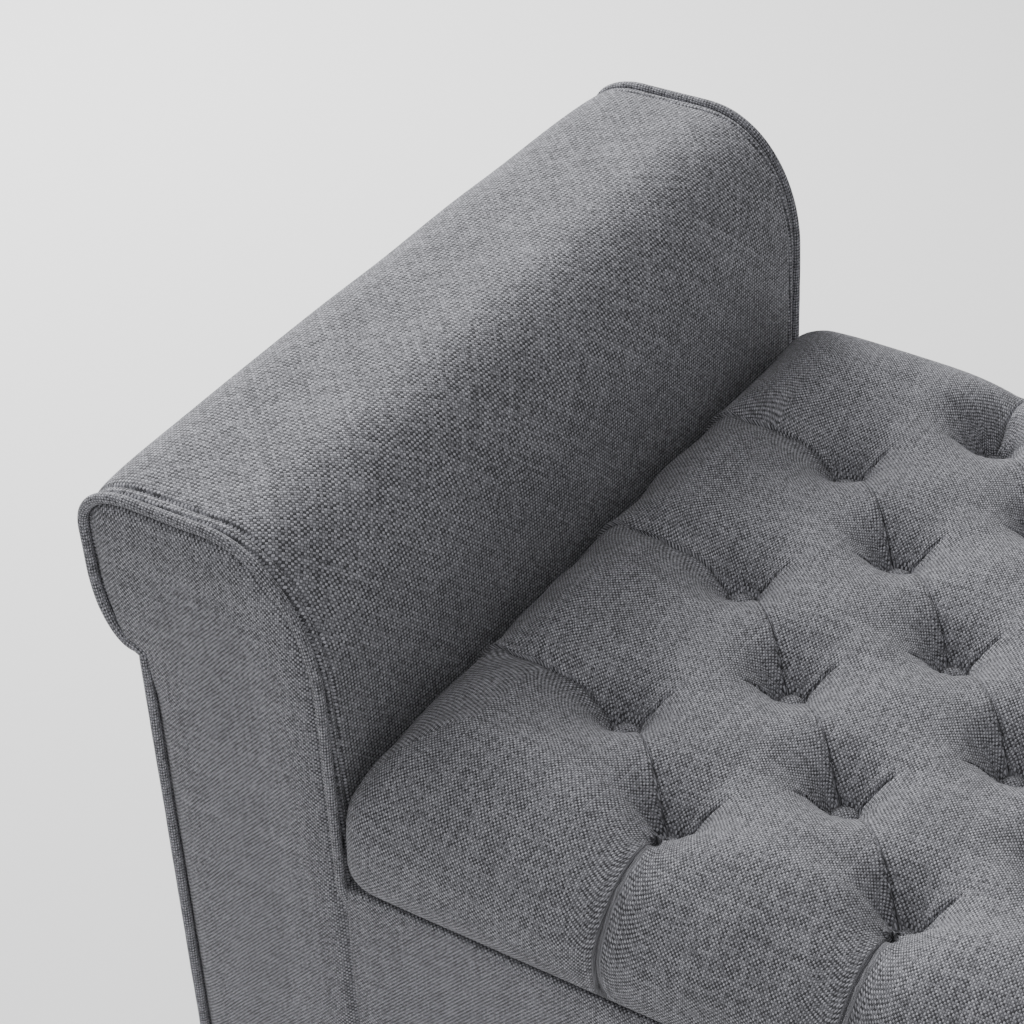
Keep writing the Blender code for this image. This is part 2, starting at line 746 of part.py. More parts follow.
def main():
    clear_scene()
    make_collection(PARTS)
    make_collection(CUTTERS)
    materials = make_materials()
    lid_axis = pivot_empty("lid_hinge_axis", (0.0, HINGE_Y, HINGE_Z))
    build_box(materials)
    build_corner_blocks(materials)
    build_feet(materials)
    build_lid(lid_axis, materials)
    build_buttons(lid_axis, materials)
    for number, x in enumerate((-HINGE_X, HINGE_X), 1):
        build_hinge(number, x, lid_axis, materials)
    for side, name in ((-1, "left"), (1, "right")):
        build_arm(side, name, materials)
        build_stay(side, name, lid_axis, materials)
    shade_parts()


main()
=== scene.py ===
"""Looks of the storage bench: tufted lid, padded rolled arms, piped facings, wood and steel.

Metres, +Z up, the front at -Y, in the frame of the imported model.
"""

import math

import bpy
import numpy as np
from bpy.props import FloatProperty, FloatVectorProperty, PointerProperty
from mathutils import Matrix, Vector


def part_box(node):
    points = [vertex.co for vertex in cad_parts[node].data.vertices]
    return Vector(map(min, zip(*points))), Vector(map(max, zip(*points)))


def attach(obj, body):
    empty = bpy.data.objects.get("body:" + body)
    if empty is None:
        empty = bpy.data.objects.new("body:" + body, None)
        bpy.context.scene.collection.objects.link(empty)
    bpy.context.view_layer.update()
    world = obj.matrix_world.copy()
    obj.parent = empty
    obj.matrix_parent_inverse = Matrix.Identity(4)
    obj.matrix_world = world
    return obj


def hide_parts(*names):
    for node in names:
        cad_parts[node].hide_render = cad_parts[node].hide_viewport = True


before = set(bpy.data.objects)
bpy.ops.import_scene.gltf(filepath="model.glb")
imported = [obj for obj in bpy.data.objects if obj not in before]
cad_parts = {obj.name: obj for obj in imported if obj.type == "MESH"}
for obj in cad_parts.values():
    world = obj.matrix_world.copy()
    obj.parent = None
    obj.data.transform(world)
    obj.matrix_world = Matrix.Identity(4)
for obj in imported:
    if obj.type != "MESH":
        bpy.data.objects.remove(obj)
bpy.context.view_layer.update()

bl_info = {
    "name": "Storage Bench",
    "version": (1, 0, 0),
    "blender": (4, 5, 0),
    "location": "View3D > Sidebar > Bench",
    "description": "Upholsters and finishes a storage bench round its packed frame",
    "category": "Add Mesh",
}

SIDES = ((-1, "left"), (1, "right"))
WEAVE_MAP = "weave"

# Arm section: u runs outwards from the arm's inner face
ARM_INNER = 0.4810
ARM_THICK = 0.1190
ARM_END = 0.2445
CORD_Y = 0.2476
ROLL = ((0.0630, 0.4760), (0.0630, 0.0870), 2.2)
SHOULDER = ((0.1065, 0.5320), (0.0400, 0.0310), 2.2)
UNDERCUT = ((0.1190, 0.5100), (0.0268, 0.0515), 2.0)
BASE_BOTTOM = 0.0700
BOX_RIM = 0.3475

# Tufting: buttons stand where column + row is even
STEP_X = 0.0635
STEP_Y = 0.0625
BUTTON_TOP = 0.4100
LAST_COLUMN = 6
LAST_ROW = 3
CELLS = 32
SIDE_CELLS = 216
END_CELLS = 98
FULL_SWELL = 30.0
LIP_WIDTH = 0.0065
BUTTON_DEPTH = 0.003
CREST_START = 0.008
FOLD_CLIMB = 0.0366
PLEAT_CLIMB = 0.026
PIT_RADII = (0.0, 0.0060, 0.0080, 0.0105)
PIT_LEVELS = (-0.0062, -0.0060, -0.0035, 0.0035)
BUTTON_RADIUS = 0.0080

# Lid edge: drop and power of its curve, then the tuck under the board
FRONT_EDGE = (0.060, 1.6)
OTHER_EDGE = (0.050, 1.9)
TUCK_RADIUS = 0.0195
TUCK_CLEAR = 0.0340
TUCK_TOP = 0.3770
UNDER_REACH = 0.042
UNDER_DROP = 0.0004
TIGHT_BELOW = 0.3640
EDGE_RINGS = 70
UNDER_RINGS = 4
FACE_RING = 30

# Relaxation of the lid cover
ROUNDS, QUICK_ROUNDS = 400, 160
OVER_RELAXED = 1.75
FIRST_DROP = 0.006

# How much of its distance each line beside a crease keeps, and the shift of the fabric inside
FOLD_LIPS = ((1, 0.32), (2, 0.74), (3, 0.92))
PLEAT_LIPS = ((1, 0.15), (2, 0.68), (3, 0.90))
TUCK_SHIFT = 0.0022

# Covers of the arms and the box
COVER_THICK = 0.0085
COVER_BIAS = 0.52
FACING_STEPS = (
    (0.0, 0.06), (0.0006, 0.10), (0.0014, 0.20), (0.0026, 0.36), (0.0042, 0.54),
    (0.0062, 0.70), (0.0086, 0.81), (0.0115, 0.89), (0.0150, 0.96), (0.0190, 1.0),
)
CORD_TWIST = 0.7
PANEL_GAP = 0.0008
PANEL_EDGE = 0.0026
PANEL_SPACING = 0.012
FLOOR_REACH = 9.0


# ---------------------------------------------------------------- settings


def length(name, description, default):
    return FloatProperty(
        name=name, description=description, default=default, min=0.0, unit="LENGTH", precision=4
    )


def colour(name, description, default):
    return FloatVectorProperty(
        name=name, description=description, default=default, subtype="COLOR", min=0.0, max=1.0
    )


def share(name, description, default):
    return FloatProperty(
        name=name, description=description, default=default, min=0.0, max=1.0, subtype="FACTOR"
    )


def angle(name, description, degrees):
    return FloatProperty(
        name=name, description=description, default=math.radians(degrees), subtype="ANGLE"
    )


def strength(name, description, default):
    return FloatProperty(name=name, description=description, default=default, min=0.0)


class BenchFabricSettings(bpy.types.PropertyGroup):
    thread: length("Thread spacing", "Distance between two threads of the weave", 0.00113)
    light: colour("Light thread", "Colour of the palest yarn", (0.530, 0.530, 0.580))
    dark: colour("Dark thread", "Colour of the darkest yarn", (0.060, 0.060, 0.066))
    heather: share("Heather", "How far single crossings differ from each other", 0.46)
    relief: length("Relief", "Height of the yarns over the gaps", 0.00035)


class BenchLidSettings(bpy.types.PropertyGroup):
    fold_crest: length("Fold crest", "Height of a crisp fold's middle over the buttons", 0.0245)
    soft_crest: length("Soft crest", "Height of a soft fold's middle over the buttons", 0.0275)
    fullness: share("Fullness", "How strongly the padding swells between the folds", 0.50)
    pleat_crest: length("Pleat crest", "Height of the pleats to the arms over the buttons", 0.0210)
    crease: length("Crease depth", "Depth of the fabric tucked into a crease", 0.0100)
    overlap: length("Overlap", "How far one lip of a crease lies over the other", 0.0026)
    settle: length("Settling length", "How far from a crease the padding is pulled down", 0.0190)
    gather: length("Gathers", "Height of the small gathers round each button", 0.0007)
    corner: length("Corner radius", "Radius of the lid's corners seen from above", 0.0200)
    rise: length("Rise", "How far the middle of the lid stands over its edges", 0.0030)


class BenchArmSettings(bpy.types.PropertyGroup):
    crown: length("Crown", "How far the padding of the roll stands proud", 0.0006)
    sink: length("Cord sink", "How far the roll's cord lies below the padding's line", 0.0045)
    inner_crown: length("Inner crown", "How far the padding of the inner face stands proud", 0.0018)
    seam_inset: length("Seam inset", "Distance of the second seam from the end", 0.0068)
    seam_depth: length("Seam depth", "Depth of the second seam", 0.0013)
    cord_radius: length("Cord radius", "Radius of the welt cord", 0.0030)
    facing_pad: length("Facing padding", "How far the middle of a facing stands proud", 0.0064)


class BenchTrimSettings(bpy.types.PropertyGroup):
    ply: colour("Plywood", "Colour of the plywood faces", (0.560, 0.400, 0.240))
    hardboard: colour("Hardboard", "Colour of the bent hardboard", (0.250, 0.155, 0.085))
    foot: colour("Feet", "Colour of the stained feet", (0.034, 0.020, 0.013))
    lining: colour("Lining", "Colour of the black lining cloth", (0.020, 0.020, 0.022))
    steel: colour("Steel", "Colour of the zinc-plated steel", (0.560, 0.570, 0.580))


class BenchStageSettings(bpy.types.PropertyGroup):
    place: FloatVectorProperty(
        name="Camera place",
        description="Where the camera stands",
        default=(0.175, -1.015, 1.324),
        subtype="TRANSLATION",
        unit="LENGTH",
    )
    yaw: angle("Yaw", "Turn to the left", 34.87)
    pitch: angle("Pitch", "Tilt down", 36.33)
    roll: angle("Roll", "Turn round the view", -3.24)
    lens: FloatProperty(name="Lens", description="Focal length in millimetres", default=93.68, min=10.0)
    floor: colour("Floor", "Colour of the floor", (0.92, 0.92, 0.92))
    key: strength("Key light", "Power of the light from the left and behind", 124.0)
    front: strength("Front light", "Power of the light from the front", 25.0)
    sky: strength("Sky", "Strength of the light all round", 0.43)


# ---------------------------------------------------------------- node tools


class Nodes:
    """A short way of writing a material's nodes."""

    def __init__(self, name):
        self.material = bpy.data.materials.new(name)
        self.material.use_nodes = True
        self.tree = self.material.node_tree
        self.shader = self.tree.nodes["Principled BSDF"]

    def add(self, kind, **settings):
        node = self.tree.nodes.new(kind)
        for key, value in settings.items():
            setattr(node, key, value)
        return node

    def link(self, source, target):
        self.tree.links.new(source, target)

    def feed(self, target, value):
        if isinstance(value, bpy.types.NodeSocket):
            self.link(value, target)
        else:
            target.default_value = value

    def math(self, operation, *values, clamp=False):
        node = self.add("ShaderNodeMath", operation=operation, use_clamp=clamp)
        for target, value in zip(node.inputs, values):
            self.feed(target, value)
        return node.outputs[0]

    def mix(self, factor, low, high, blend="MIX"):
        node = self.add("ShaderNodeMix", data_type="RGBA", blend_type=blend)
        self.feed(node.inputs[0], factor)
        for target, value in ((node.inputs[6], low), (node.inputs[7], high)):
            if isinstance(value, bpy.types.NodeSocket):
                self.link(value, target)
            else:
                target.default_value = (*value, 1.0)
        return node.outputs[2]

    def noise(self, vector, scale, detail=2.0, rough=0.5):
        node = self.add("ShaderNodeTexNoise")
        self.link(vector, node.inputs["Vector"])
        node.inputs["Scale"].default_value = scale
        node.inputs["Detail"].default_value = detail
        node.inputs["Roughness"].default_value = rough
        return node.outputs[0]

    def random(self, vector):
        node = self.add("ShaderNodeTexWhiteNoise", noise_dimensions="3D")
        self.link(vector, node.inputs["Vector"])
        return node.outputs[0]

    def split(self, vector):
        node = self.add("ShaderNodeSeparateXYZ")
        self.link(vector, node.inputs[0])
        return node.outputs

    def join(self, x, y, z=0.0):
        node = self.add("ShaderNodeCombineXYZ")
        for target, value in zip(node.inputs, (x, y, z)):
            self.feed(target, value)
        return node.outputs[0]

    def scaled(self, vector, factors):
        node = self.add("ShaderNodeVectorMath", operation="MULTIPLY")
        self.link(vector, node.inputs[0])
        node.inputs[1].default_value = factors
        return node.outputs[0]

    def ramp(self, value, low, high, out_low=0.0, out_high=1.0):
        node = self.add("ShaderNodeMapRange", interpolation_type="SMOOTHSTEP")
        self.feed(node.inputs[0], value)
        for target, number in zip(list(node.inputs)[1:5], (low, high, out_low, out_high)):
            target.default_value = number
        return node.outputs[0]

    def bump(self, height, distance, strength=1.0):
        node = self.add("ShaderNodeBump")
        node.inputs["Distance"].default_value = distance
        node.inputs["Strength"].default_value = strength
        self.link(height, node.inputs["Height"])
        self.link(node.outputs[0], self.shader.inputs["Normal"])

    def base_colour(self, value):
        self.link(value, self.shader.inputs["Base Color"])

    def roughness(self, value, low, high):
        self.link(self.ramp(value, 0.2, 0.8, low, high), self.shader.inputs["Roughness"])

    def shades(self, factor, colour, low, high):
        """A mix of two shades of one colour."""
        dark, pale = ([min(1.0, part * c) for c in colour] for part in (low, high))
        return self.mix(factor, dark, pale)

    def set(self, **values):
        for key, value in values.items():
            self.shader.inputs[key.replace("_", " ")].default_value = value


# ---------------------------------------------------------------- finishes


def once(build):
    """Keeps the finish that a function builds, under the name that it is asked for by."""

    def finish(name, *values):
        return bpy.data.materials.get(name) or build(name, *values)

    return finish


@once
def woven_cloth(name, shade=1.0, thread=None):
    """Plain weave of heathered yarn on the piece's own metre-scaled map, with painted shade in the gaps
    between the yarns.
    """
    fabric = bpy.context.scene.bench_fabric
    n = Nodes(name)
    place = n.add("ShaderNodeUVMap", uv_map=WEAVE_MAP).outputs[0]
    pitch = thread or fabric.thread
    slub_u = n.noise(n.scaled(place, (420.0, 60.0, 1.0)), 1.0, 1.0)
    slub_v = n.noise(n.scaled(place, (60.0, 420.0, 1.0)), 1.0, 1.0)
    drift = n.noise(place, 22.0, 2.0)
    x, y, _ = n.split(place)
    wander = n.math("MULTIPLY", n.math("SUBTRACT", drift, 0.5), 1.4)
    u = n.math("ADD", n.math("DIVIDE", x, pitch), n.math("MULTIPLY_ADD", slub_u, 0.30, wander))
    v = n.math("ADD", n.math("DIVIDE", y, 1.10 * pitch), n.math("MULTIPLY_ADD", slub_v, 0.30, wander))
    warp_id = n.math("FLOOR", u)
    weft_id = n.math("FLOOR", v)
    parity = n.math("MODULO", n.math("ADD", n.math("ADD", warp_id, weft_id), 20000.0), 2.0)
    bow_u = n.math("SINE", n.math("MULTIPLY", n.math("FRACT", u), math.pi))
    bow_v = n.math("SINE", n.math("MULTIPLY", n.math("FRACT", v), math.pi))
    warp_high = n.math("MULTIPLY", n.math("POWER", bow_u, 0.7), n.math("MULTIPLY_ADD", bow_v, 0.5, 0.5))
    weft_high = n.math("MULTIPLY", n.math("POWER", bow_v, 0.7), n.math("MULTIPLY_ADD", bow_u, 0.5, 0.5))
    choose = n.add("ShaderNodeMix", data_type="FLOAT")
    n.feed(choose.inputs[0], parity)
    n.feed(choose.inputs[2], warp_high)
    n.feed(choose.inputs[3], n.math("MULTIPLY", weft_high, 0.72))
    height = choose.outputs[0]

    warp_tone = n.random(n.join(warp_id, 3.0, 1.0))
    weft_tone = n.random(n.join(7.0, weft_id, 2.0))
    spot = n.random(n.join(warp_id, weft_id, 5.0))
    fleck = n.noise(place, 1100.0, 2.0, 0.7)
    tone = n.math("MULTIPLY_ADD", parity, -0.46, 0.62)
    tone = n.math("ADD", tone, n.math("MULTIPLY", n.math("SUBTRACT", spot, 0.5), fabric.heather))
    yarns = n.math("SUBTRACT", n.math("ADD", warp_tone, weft_tone), 1.0)
    tone = n.math("ADD", tone, n.math("MULTIPLY", yarns, 0.13))
    tone = n.math("ADD", tone, n.math("MULTIPLY", n.math("SUBTRACT", fleck, 0.5), 0.9), clamp=True)
    yarn_colour = n.mix(tone, [shade * c for c in fabric.dark], [shade * c for c in fabric.light])
    # painted shade: the colour is darkened to 0.42 in the low gaps between the yarns, as shade in those
    # recesses; depth is this painted shade times a broad random tone
    painted_gap_shade = n.ramp(height, 0.15, 0.80, 0.42, 1.0)
    broad = n.ramp(n.noise(place, 7.0, 3.0), 0.25, 0.75, 0.95, 1.04)
    depth = n.math("MULTIPLY", painted_gap_shade, broad)
    n.base_colour(n.mix(1.0, yarn_colour, n.join(depth, depth, depth), "MULTIPLY"))
    fuzz = n.math("MULTIPLY_ADD", fleck, 0.3, height)
    n.roughness(fleck, 0.82, 0.98)
    n.bump(fuzz, fabric.relief, 0.9)
    n.set(Sheen_Weight=0.10, Sheen_Roughness=0.5, Specular_IOR_Level=0.25)
    return n.material


@once
def lining_cloth(name):
    """Thin black non-woven lining with a pressed dot pattern."""
    tint = bpy.context.scene.bench_trim.lining
    n = Nodes(name)
    place = n.add("ShaderNodeTexCoord").outputs["Object"]
    fibre = n.noise(place, 380.0, 4.0, 0.7)
    cell = n.add("ShaderNodeTexVoronoi", feature="F1", distance="EUCLIDEAN")
    n.link(place, cell.inputs["Vector"])
    cell.inputs["Scale"].default_value = 420.0
    cell.inputs["Randomness"].default_value = 0.25
    dot = n.ramp(cell.outputs["Distance"], 0.12, 0.38)
    tone = n.math("MULTIPLY_ADD", fibre, 0.8, n.math("MULTIPLY", dot, 0.35))
    n.base_colour(n.shades(tone, tint, 0.55, 1.9))
    n.roughness(fibre, 0.80, 0.96)
    n.bump(tone, 0.00025, 0.7)
    n.set(Specular_IOR_Level=0.3)
    return n.material


@once
def plywood_finish(name):
    """Birch plywood: grain along X, layers showing on the cut edges."""
    tint = bpy.context.scene.bench_trim.ply
    n = Nodes(name)
    coordinate = n.add("ShaderNodeTexCoord")
    place = coordinate.outputs["Object"]
    _, _, normal_z = n.split(coordinate.outputs["Normal"])
    grain = n.noise(n.scaled(place, (6.0, 90.0, 90.0)), 1.0, 5.0, 0.6)
    figure = n.noise(n.scaled(place, (1.6, 9.0, 9.0)), 1.0, 3.0)
    rings = n.math("SINE", n.math("MULTIPLY_ADD", figure, 60.0, n.math("MULTIPLY", grain, 3.0)))
    tone = n.math("ADD", n.math("MULTIPLY", grain, 0.7), n.math("MULTIPLY_ADD", rings, 0.10, 0.1))
    face = n.shades(tone, tint, 0.72, 1.22)
    x, y, z = n.split(place)
    total = n.math("ADD", n.math("ADD", n.math("ABSOLUTE", x), n.math("ABSOLUTE", y)), 0.0004)
    layer = n.math("FRACT", n.math("DIVIDE", total, 0.0030))
    stripe = n.ramp(layer, 0.42, 0.58, 0.62, 1.05)
    upward = n.ramp(n.math("ABSOLUTE", normal_z), 0.6, 0.9)
    rim = n.ramp(z, BOX_RIM - 0.0020, BOX_RIM - 0.0010)
    lid_level = n.ramp(z, BOX_RIM + 0.004, BOX_RIM + 0.005, 1.0, 0.0)
    edge = n.math("MULTIPLY", n.math("MULTIPLY", upward, rim), lid_level)
    edge_tone = n.math("MULTIPLY", stripe, n.ramp(grain, 0.2, 0.8, 0.85, 1.1))
    cut = n.mix(1.0, [0.85 * c for c in tint], n.join(edge_tone, edge_tone, edge_tone), "MULTIPLY")
    n.base_colour(n.mix(edge, face, cut))
    n.roughness(grain, 0.52, 0.72)
    n.bump(grain, 0.0003, 0.6)
    return n.material


@once
def hardboard_finish(name):
    """Brown hardboard with short, tangled fibres."""
    tint = bpy.context.scene.bench_trim.hardboard
    n = Nodes(name)
    place = n.add("ShaderNodeTexCoord").outputs["Object"]
    fibre = n.noise(place, 700.0, 4.0, 0.7)
    n.base_colour(n.shades(fibre, tint, 0.6, 1.4))
    n.roughness(fibre, 0.65, 0.9)
    n.bump(fibre, 0.0002, 0.6)
    return n.material


@once
def foot_finish(name):
    """Dark stained wood with upright grain, worn paler on its edges near the floor."""
    tint = bpy.context.scene.bench_trim.foot
    n = Nodes(name)
    place = n.add("ShaderNodeTexCoord").outputs["Object"]
    grain = n.noise(n.scaled(place, (260.0, 260.0, 22.0)), 1.0, 5.0, 0.6)
    pores = n.noise(n.scaled(place, (900.0, 900.0, 60.0)), 1.0, 2.0)
    tone = n.ramp(n.math("MULTIPLY_ADD", pores, 0.4, n.math("MULTIPLY", grain, 0.6)), 0.3, 0.7)
    body = n.shades(tone, tint, 0.55, 1.9)
    _, _, z = n.split(place)
    worn = n.math("MULTIPLY", n.ramp(z, 0.0, 0.008, 0.55, 0.0), n.noise(place, 160.0, 3.0))
    n.base_colour(n.mix(worn, body, [min(1.0, 5.0 * c) for c in tint]))
    n.roughness(grain, 0.32, 0.5)
    n.bump(n.math("MULTIPLY_ADD", pores, 0.5, grain), 0.00025, 0.6)
    n.set(Coat_Weight=0.25, Coat_Roughness=0.3)
    return n.material


@once
def steel_finish(name):
    """Zinc-plated steel, brushed along the bars and slightly spangled."""
    tint = bpy.context.scene.bench_trim.steel
    n = Nodes(name)
    place = n.add("ShaderNodeTexCoord").outputs["Object"]
    brush = n.noise(n.scaled(place, (2400.0, 90.0, 2400.0)), 1.0, 3.0)
    cell = n.add("ShaderNodeTexVoronoi", feature="F1")
    n.link(place, cell.inputs["Vector"])
    cell.inputs["Scale"].default_value = 160.0
    spangle = n.random(cell.outputs["Position"])
    tone = n.math("MULTIPLY_ADD", spangle, 0.35, n.math("MULTIPLY", brush, 0.65))
    n.base_colour(n.shades(tone, tint, 0.72, 1.25))
    n.roughness(tone, 0.27, 0.45)
    n.bump(brush, 0.00004, 0.5)
    n.set(Metallic=0.95)
    return n.material


# ---------------------------------------------------------------- mesh tools


def mesh_piece(name, points, groups, material, body):
    """A mesh from numpy points and groups of (faces, corner map places), riding on its body."""
    loops = np.concatenate([np.asarray(faces).ravel() for faces, _ in groups])
    sizes = np.concatenate([np.full(len(faces), np.shape(faces)[1]) for faces, _ in groups])
    places = np.concatenate([np.asarray(uv, float).reshape(-1, 2) for _, uv in groups])
    mesh = bpy.data.meshes.new(name)
    mesh.vertices.add(len(points))
    mesh.vertices.foreach_set("co", np.asarray(points, float).ravel())
    mesh.loops.add(len(loops))
    mesh.loops.foreach_set("vertex_index", loops.astype(np.int32))
    mesh.polygons.add(len(sizes))
    mesh.polygons.foreach_set("loop_start", (np.cumsum(sizes) - sizes).astype(np.int32))
    layer = mesh.uv_layers.new(name=WEAVE_MAP)
    layer.data.foreach_set("uv", places.ravel())
    mesh.update(calc_edges=True)
    mesh.validate()
    mesh.materials.append(material)
    mesh.shade_smooth()
    piece = bpy.data.objects.new(name, mesh)
    bpy.context.scene.collection.objects.link(piece)
    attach(piece, body)
    return piece


def grid_faces(rows, columns, wrap=False, start=0):
    """Quads between neighbouring rows of a grid of points, row after row."""
    last = columns if wrap else columns - 1
    row, column = np.meshgrid(np.arange(rows - 1), np.arange(last), indexing="ij")
    row, column = row.ravel(), column.ravel()
    following = (column + 1) % columns
    quads = [row * columns + column, row * columns + following]
    quads += [(row + 1) * columns + following, (row + 1) * columns + column]
    return np.stack(quads, 1) + start


def border(rows, columns):
    """The points round the edge of a grid, in order."""
    number = np.arange(rows * columns).reshape(rows, columns)
    return np.concatenate([number[0, :-1], number[:-1, -1], number[-1, :0:-1], number[:0:-1, 0]])


def turned_over(groups):
    turned = []
    for faces, uv in groups:
        faces = np.asarray(faces)
        uv = np.asarray(uv, float).reshape(*faces.shape, 2)
        turned.append((faces[:, ::-1], uv[:, ::-1]))
    return turned


def mapped(cloth_map, *faces):
    """Groups of faces with the map places of their corners."""
    return [(group, cloth_map[group]) for group in faces]


def edge_distances(x, y, low, high):
    """Distances from a rectangle's nearest edges, across and up."""
    return np.minimum(x - low[0], high[0] - x), np.minimum(y - low[1], high[1] - y)


def rounded_fall(inset, edge):
    """How far a quarter-round edge falls below its face."""
    bend = np.clip(1.0 - inset / edge, 0.0, 1.0)
    return (1.0 - np.sqrt(np.maximum(1.0 - bend**2, 0.0))) * edge


def signed_volume(points, groups):
    total = 0.0
    for faces, _ in groups:
        faces = np.asarray(faces)
        first = points[faces[:, 0]]
        for i in range(1, faces.shape[1] - 1):
            cross = np.cross(points[faces[:, i]] - first, points[faces[:, i + 1]] - first)
            total += float((first * cross).sum())
    return total


def closed_piece(name, points, groups, material, body):
    """A closed piece whose faces all look outwards."""
    points = np.asarray(points, float)
    if signed_volume(points, groups) < 0.0:
        groups = turned_over(groups)
    return mesh_piece(name, points, groups, material, body)


def smoothstep(value, low, high):
    t = np.clip((np.asarray(value, float) - low) / (high - low), 0.0, 1.0)
    return t * t * (3.0 - 2.0 * t)


def arc_lengths(line):
    steps = np.linalg.norm(np.diff(line, axis=0), axis=1)
    return np.concatenate([[0.0], np.cumsum(steps)])


def resampled(line, places):
    along = arc_lengths(line)
    return np.stack([np.interp(places, along, line[:, i]) for i in range(line.shape[1])], 1)


def ripples(x, y, seed, size):
    """Gentle unevenness without a pattern, from -1 to 1."""
    rng = np.random.default_rng(seed)
    total = np.zeros(np.broadcast(x, y).shape)
    for _ in range(9):
        angle, phase = rng.uniform(0.0, 2.0 * math.pi, 2)
        wave = 2.0 * math.pi / (size * rng.uniform(0.6, 1.7))
        total = total + np.sin(wave * (x * math.cos(angle) + y * math.sin(angle)) + phase)
    return total / 4.0


# ---------------------------------------------------------------- lid cover


def edge_line(reach, drop, power):
    """Lid edge seen from its end: (outwards, height) from the flat top round and under."""
    top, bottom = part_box("lid_cushion")[1].z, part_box("lid_cushion")[0].z
    turn = np.linspace(0.0, math.pi / 2, 90)
    out = reach * np.sin(turn) ** (2.0 / power)
    height = top - drop + drop * np.cos(turn) ** (2.0 / power)
    line = list(zip(out, height))
    tuck, lip = min(TUCK_RADIUS, reach - TUCK_CLEAR), TUCK_TOP - bottom
    for angle in np.linspace(0.0, math.pi / 2, 14):
        out = reach - tuck + tuck * math.cos(angle)
        line.append((out, bottom - UNDER_DROP + lip - lip * math.sin(angle)))
    line.append((reach - UNDER_REACH, bottom - UNDER_DROP))
    return np.array(line)


def ring_profile(reach, drop, power):
    """The edge line at the rings' places, close together down to the tuck and wide below it."""
    line = edge_line(reach, drop, power)
    whole = arc_lengths(line)[-1]
    under = UNDER_REACH - min(TUCK_RADIUS, reach - TUCK_CLEAR) - 0.001
    fine = whole - under
    wide = fine + under * np.linspace(1.0 / UNDER_RINGS, 1.0, UNDER_RINGS)
    places = np.concatenate([np.linspace(0.0, fine, EDGE_RINGS), wide])
    return resampled(line, places)


def perimeter():
    """(row, column) of the flat field's edge, from its front left corner to the right and round."""
    rows, columns = 2 * END_CELLS + 1, 2 * SIDE_CELLS + 1
    front = [(0, c) for c in range(columns)]
    right = [(r, columns - 1) for r in range(1, rows)]
    back = [(rows - 1, c) for c in range(columns - 2, -1, -1)]
    left = [(r, 0) for r in range(rows - 2, 0, -1)]
    return np.array(front + right + back + left)


def ring_points(edge, corner):
    """Points of the rings that carry the flat field down over its four sides."""
    dx, dy = STEP_X / CELLS, STEP_Y / CELLS
    x0, y0 = SIDE_CELLS * dx, END_CELLS * dy
    low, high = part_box("lid_cushion")
    front = ring_profile(-low.y - y0, *FRONT_EDGE)
    back = ring_profile(high.y - y0, *OTHER_EDGE)
    side = ring_profile(high.x - x0, *OTHER_EDGE)
    xs = (edge[:, 1] - SIDE_CELLS) * dx
    ys = (edge[:, 0] - END_CELLS) * dy
    wx, wy = 30 * dx, 31 * dy
    rings = np.zeros((len(front), len(edge), 3))
    for k in range(len(front)):
        ring = rings[k]
        ring[:, 0], ring[:, 1] = xs, ys
        on_end = np.abs(np.abs(ys) - y0) < 1e-9
        end = np.where(ys < 0, front[k, 0], back[k, 0])
        end_z = np.where(ys < 0, front[k, 1], back[k, 1])
        ring[:, 1] = np.where(on_end, np.sign(ys) * (y0 + end), ys)
        ring[:, 0] = np.where(on_end, xs, np.sign(xs) * (x0 + side[k, 0]))
        ring[:, 2] = np.where(on_end, end_z, side[k, 1])
        window = (np.abs(xs) > x0 - wx - 1e-9) & (np.abs(ys) > y0 - wy - 1e-9)
        part = np.where(on_end, np.abs(xs) - (x0 - wx), wx + y0 - np.abs(ys)) / (wx + wy)
        ox, oy = side[k, 0], end
        radius = corner * (1.0 - np.exp(-np.minimum(ox, oy) / 0.016))
        run_x, bend, run_y = ox + wx - radius, math.pi * radius / 2, oy + wy - radius
        t = part * (run_x + bend + run_y)
        angle = np.clip((t - run_x) / np.maximum(radius, 1e-9), 0.0, math.pi / 2)
        px = np.where(t < run_x, x0 - wx + t, x0 + ox - radius + radius * np.sin(angle))
        past = np.maximum(t - run_x - bend, 0.0)
        py = np.where(t < run_x, y0 + oy, y0 + oy - radius + radius * np.cos(angle) - past)
        turn = smoothstep(part, 0.25, 0.75)
        ring[:, 0] = np.where(window, np.sign(xs) * px, ring[:, 0])
        ring[:, 1] = np.where(window, np.sign(ys) * py, ring[:, 1])
        ring[:, 2] = np.where(window, end_z * (1.0 - turn) + side[k, 1] * turn, ring[:, 2])
    return rings


def depth_to(line, points, normals):
    """How far below each edge point, against its normal, a crest line lies."""
    depths = np.zeros(len(points))
    for i, (p, n) in enumerate(zip(points, normals)):
        best = None
        for a, b in zip(line[:-1], line[1:]):
            span = b - a
            det = n[0] * span[1] - n[1] * span[0]
            if abs(det) < 1e-12:
                continue
            to = p - a
            t = (to[0] * span[1] - to[1] * span[0]) / det
            s = (to[0] * n[1] - to[1] * n[0]) / det
            if -0.001 <= s <= 1.001 and (best is None or abs(t) < abs(best)):
                best = t
        depths[i] = 0.0 if best is None else max(best, 0.0)
    return depths


FRONT_PLEAT = np.array([
    (0.2170, 0.0154), (0.2260, 0.0146), (0.2360, 0.0113), (0.2450, 0.0060), (0.2500, 0.0000),
    (0.2540, -0.0064), (0.2570, -0.0170), (0.2584, -0.0368),
])
SIDE_PLEAT = np.array([
    (0.4640, 0.0210), (0.4700, 0.0164), (0.4735, 0.0080), (0.4755, -0.0060), (0.4764, -0.0360),
])


def climbing(run, crest, climb=PLEAT_CLIMB):
    """Height over the buttons of a pleat or fold, as it climbs out of the button's pit."""
    part = np.clip((run - CREST_START) / climb, 0.0, 1.0)
    return -BUTTON_DEPTH + (crest + BUTTON_DEPTH) * (1.0 - (1.0 - part) ** 2)


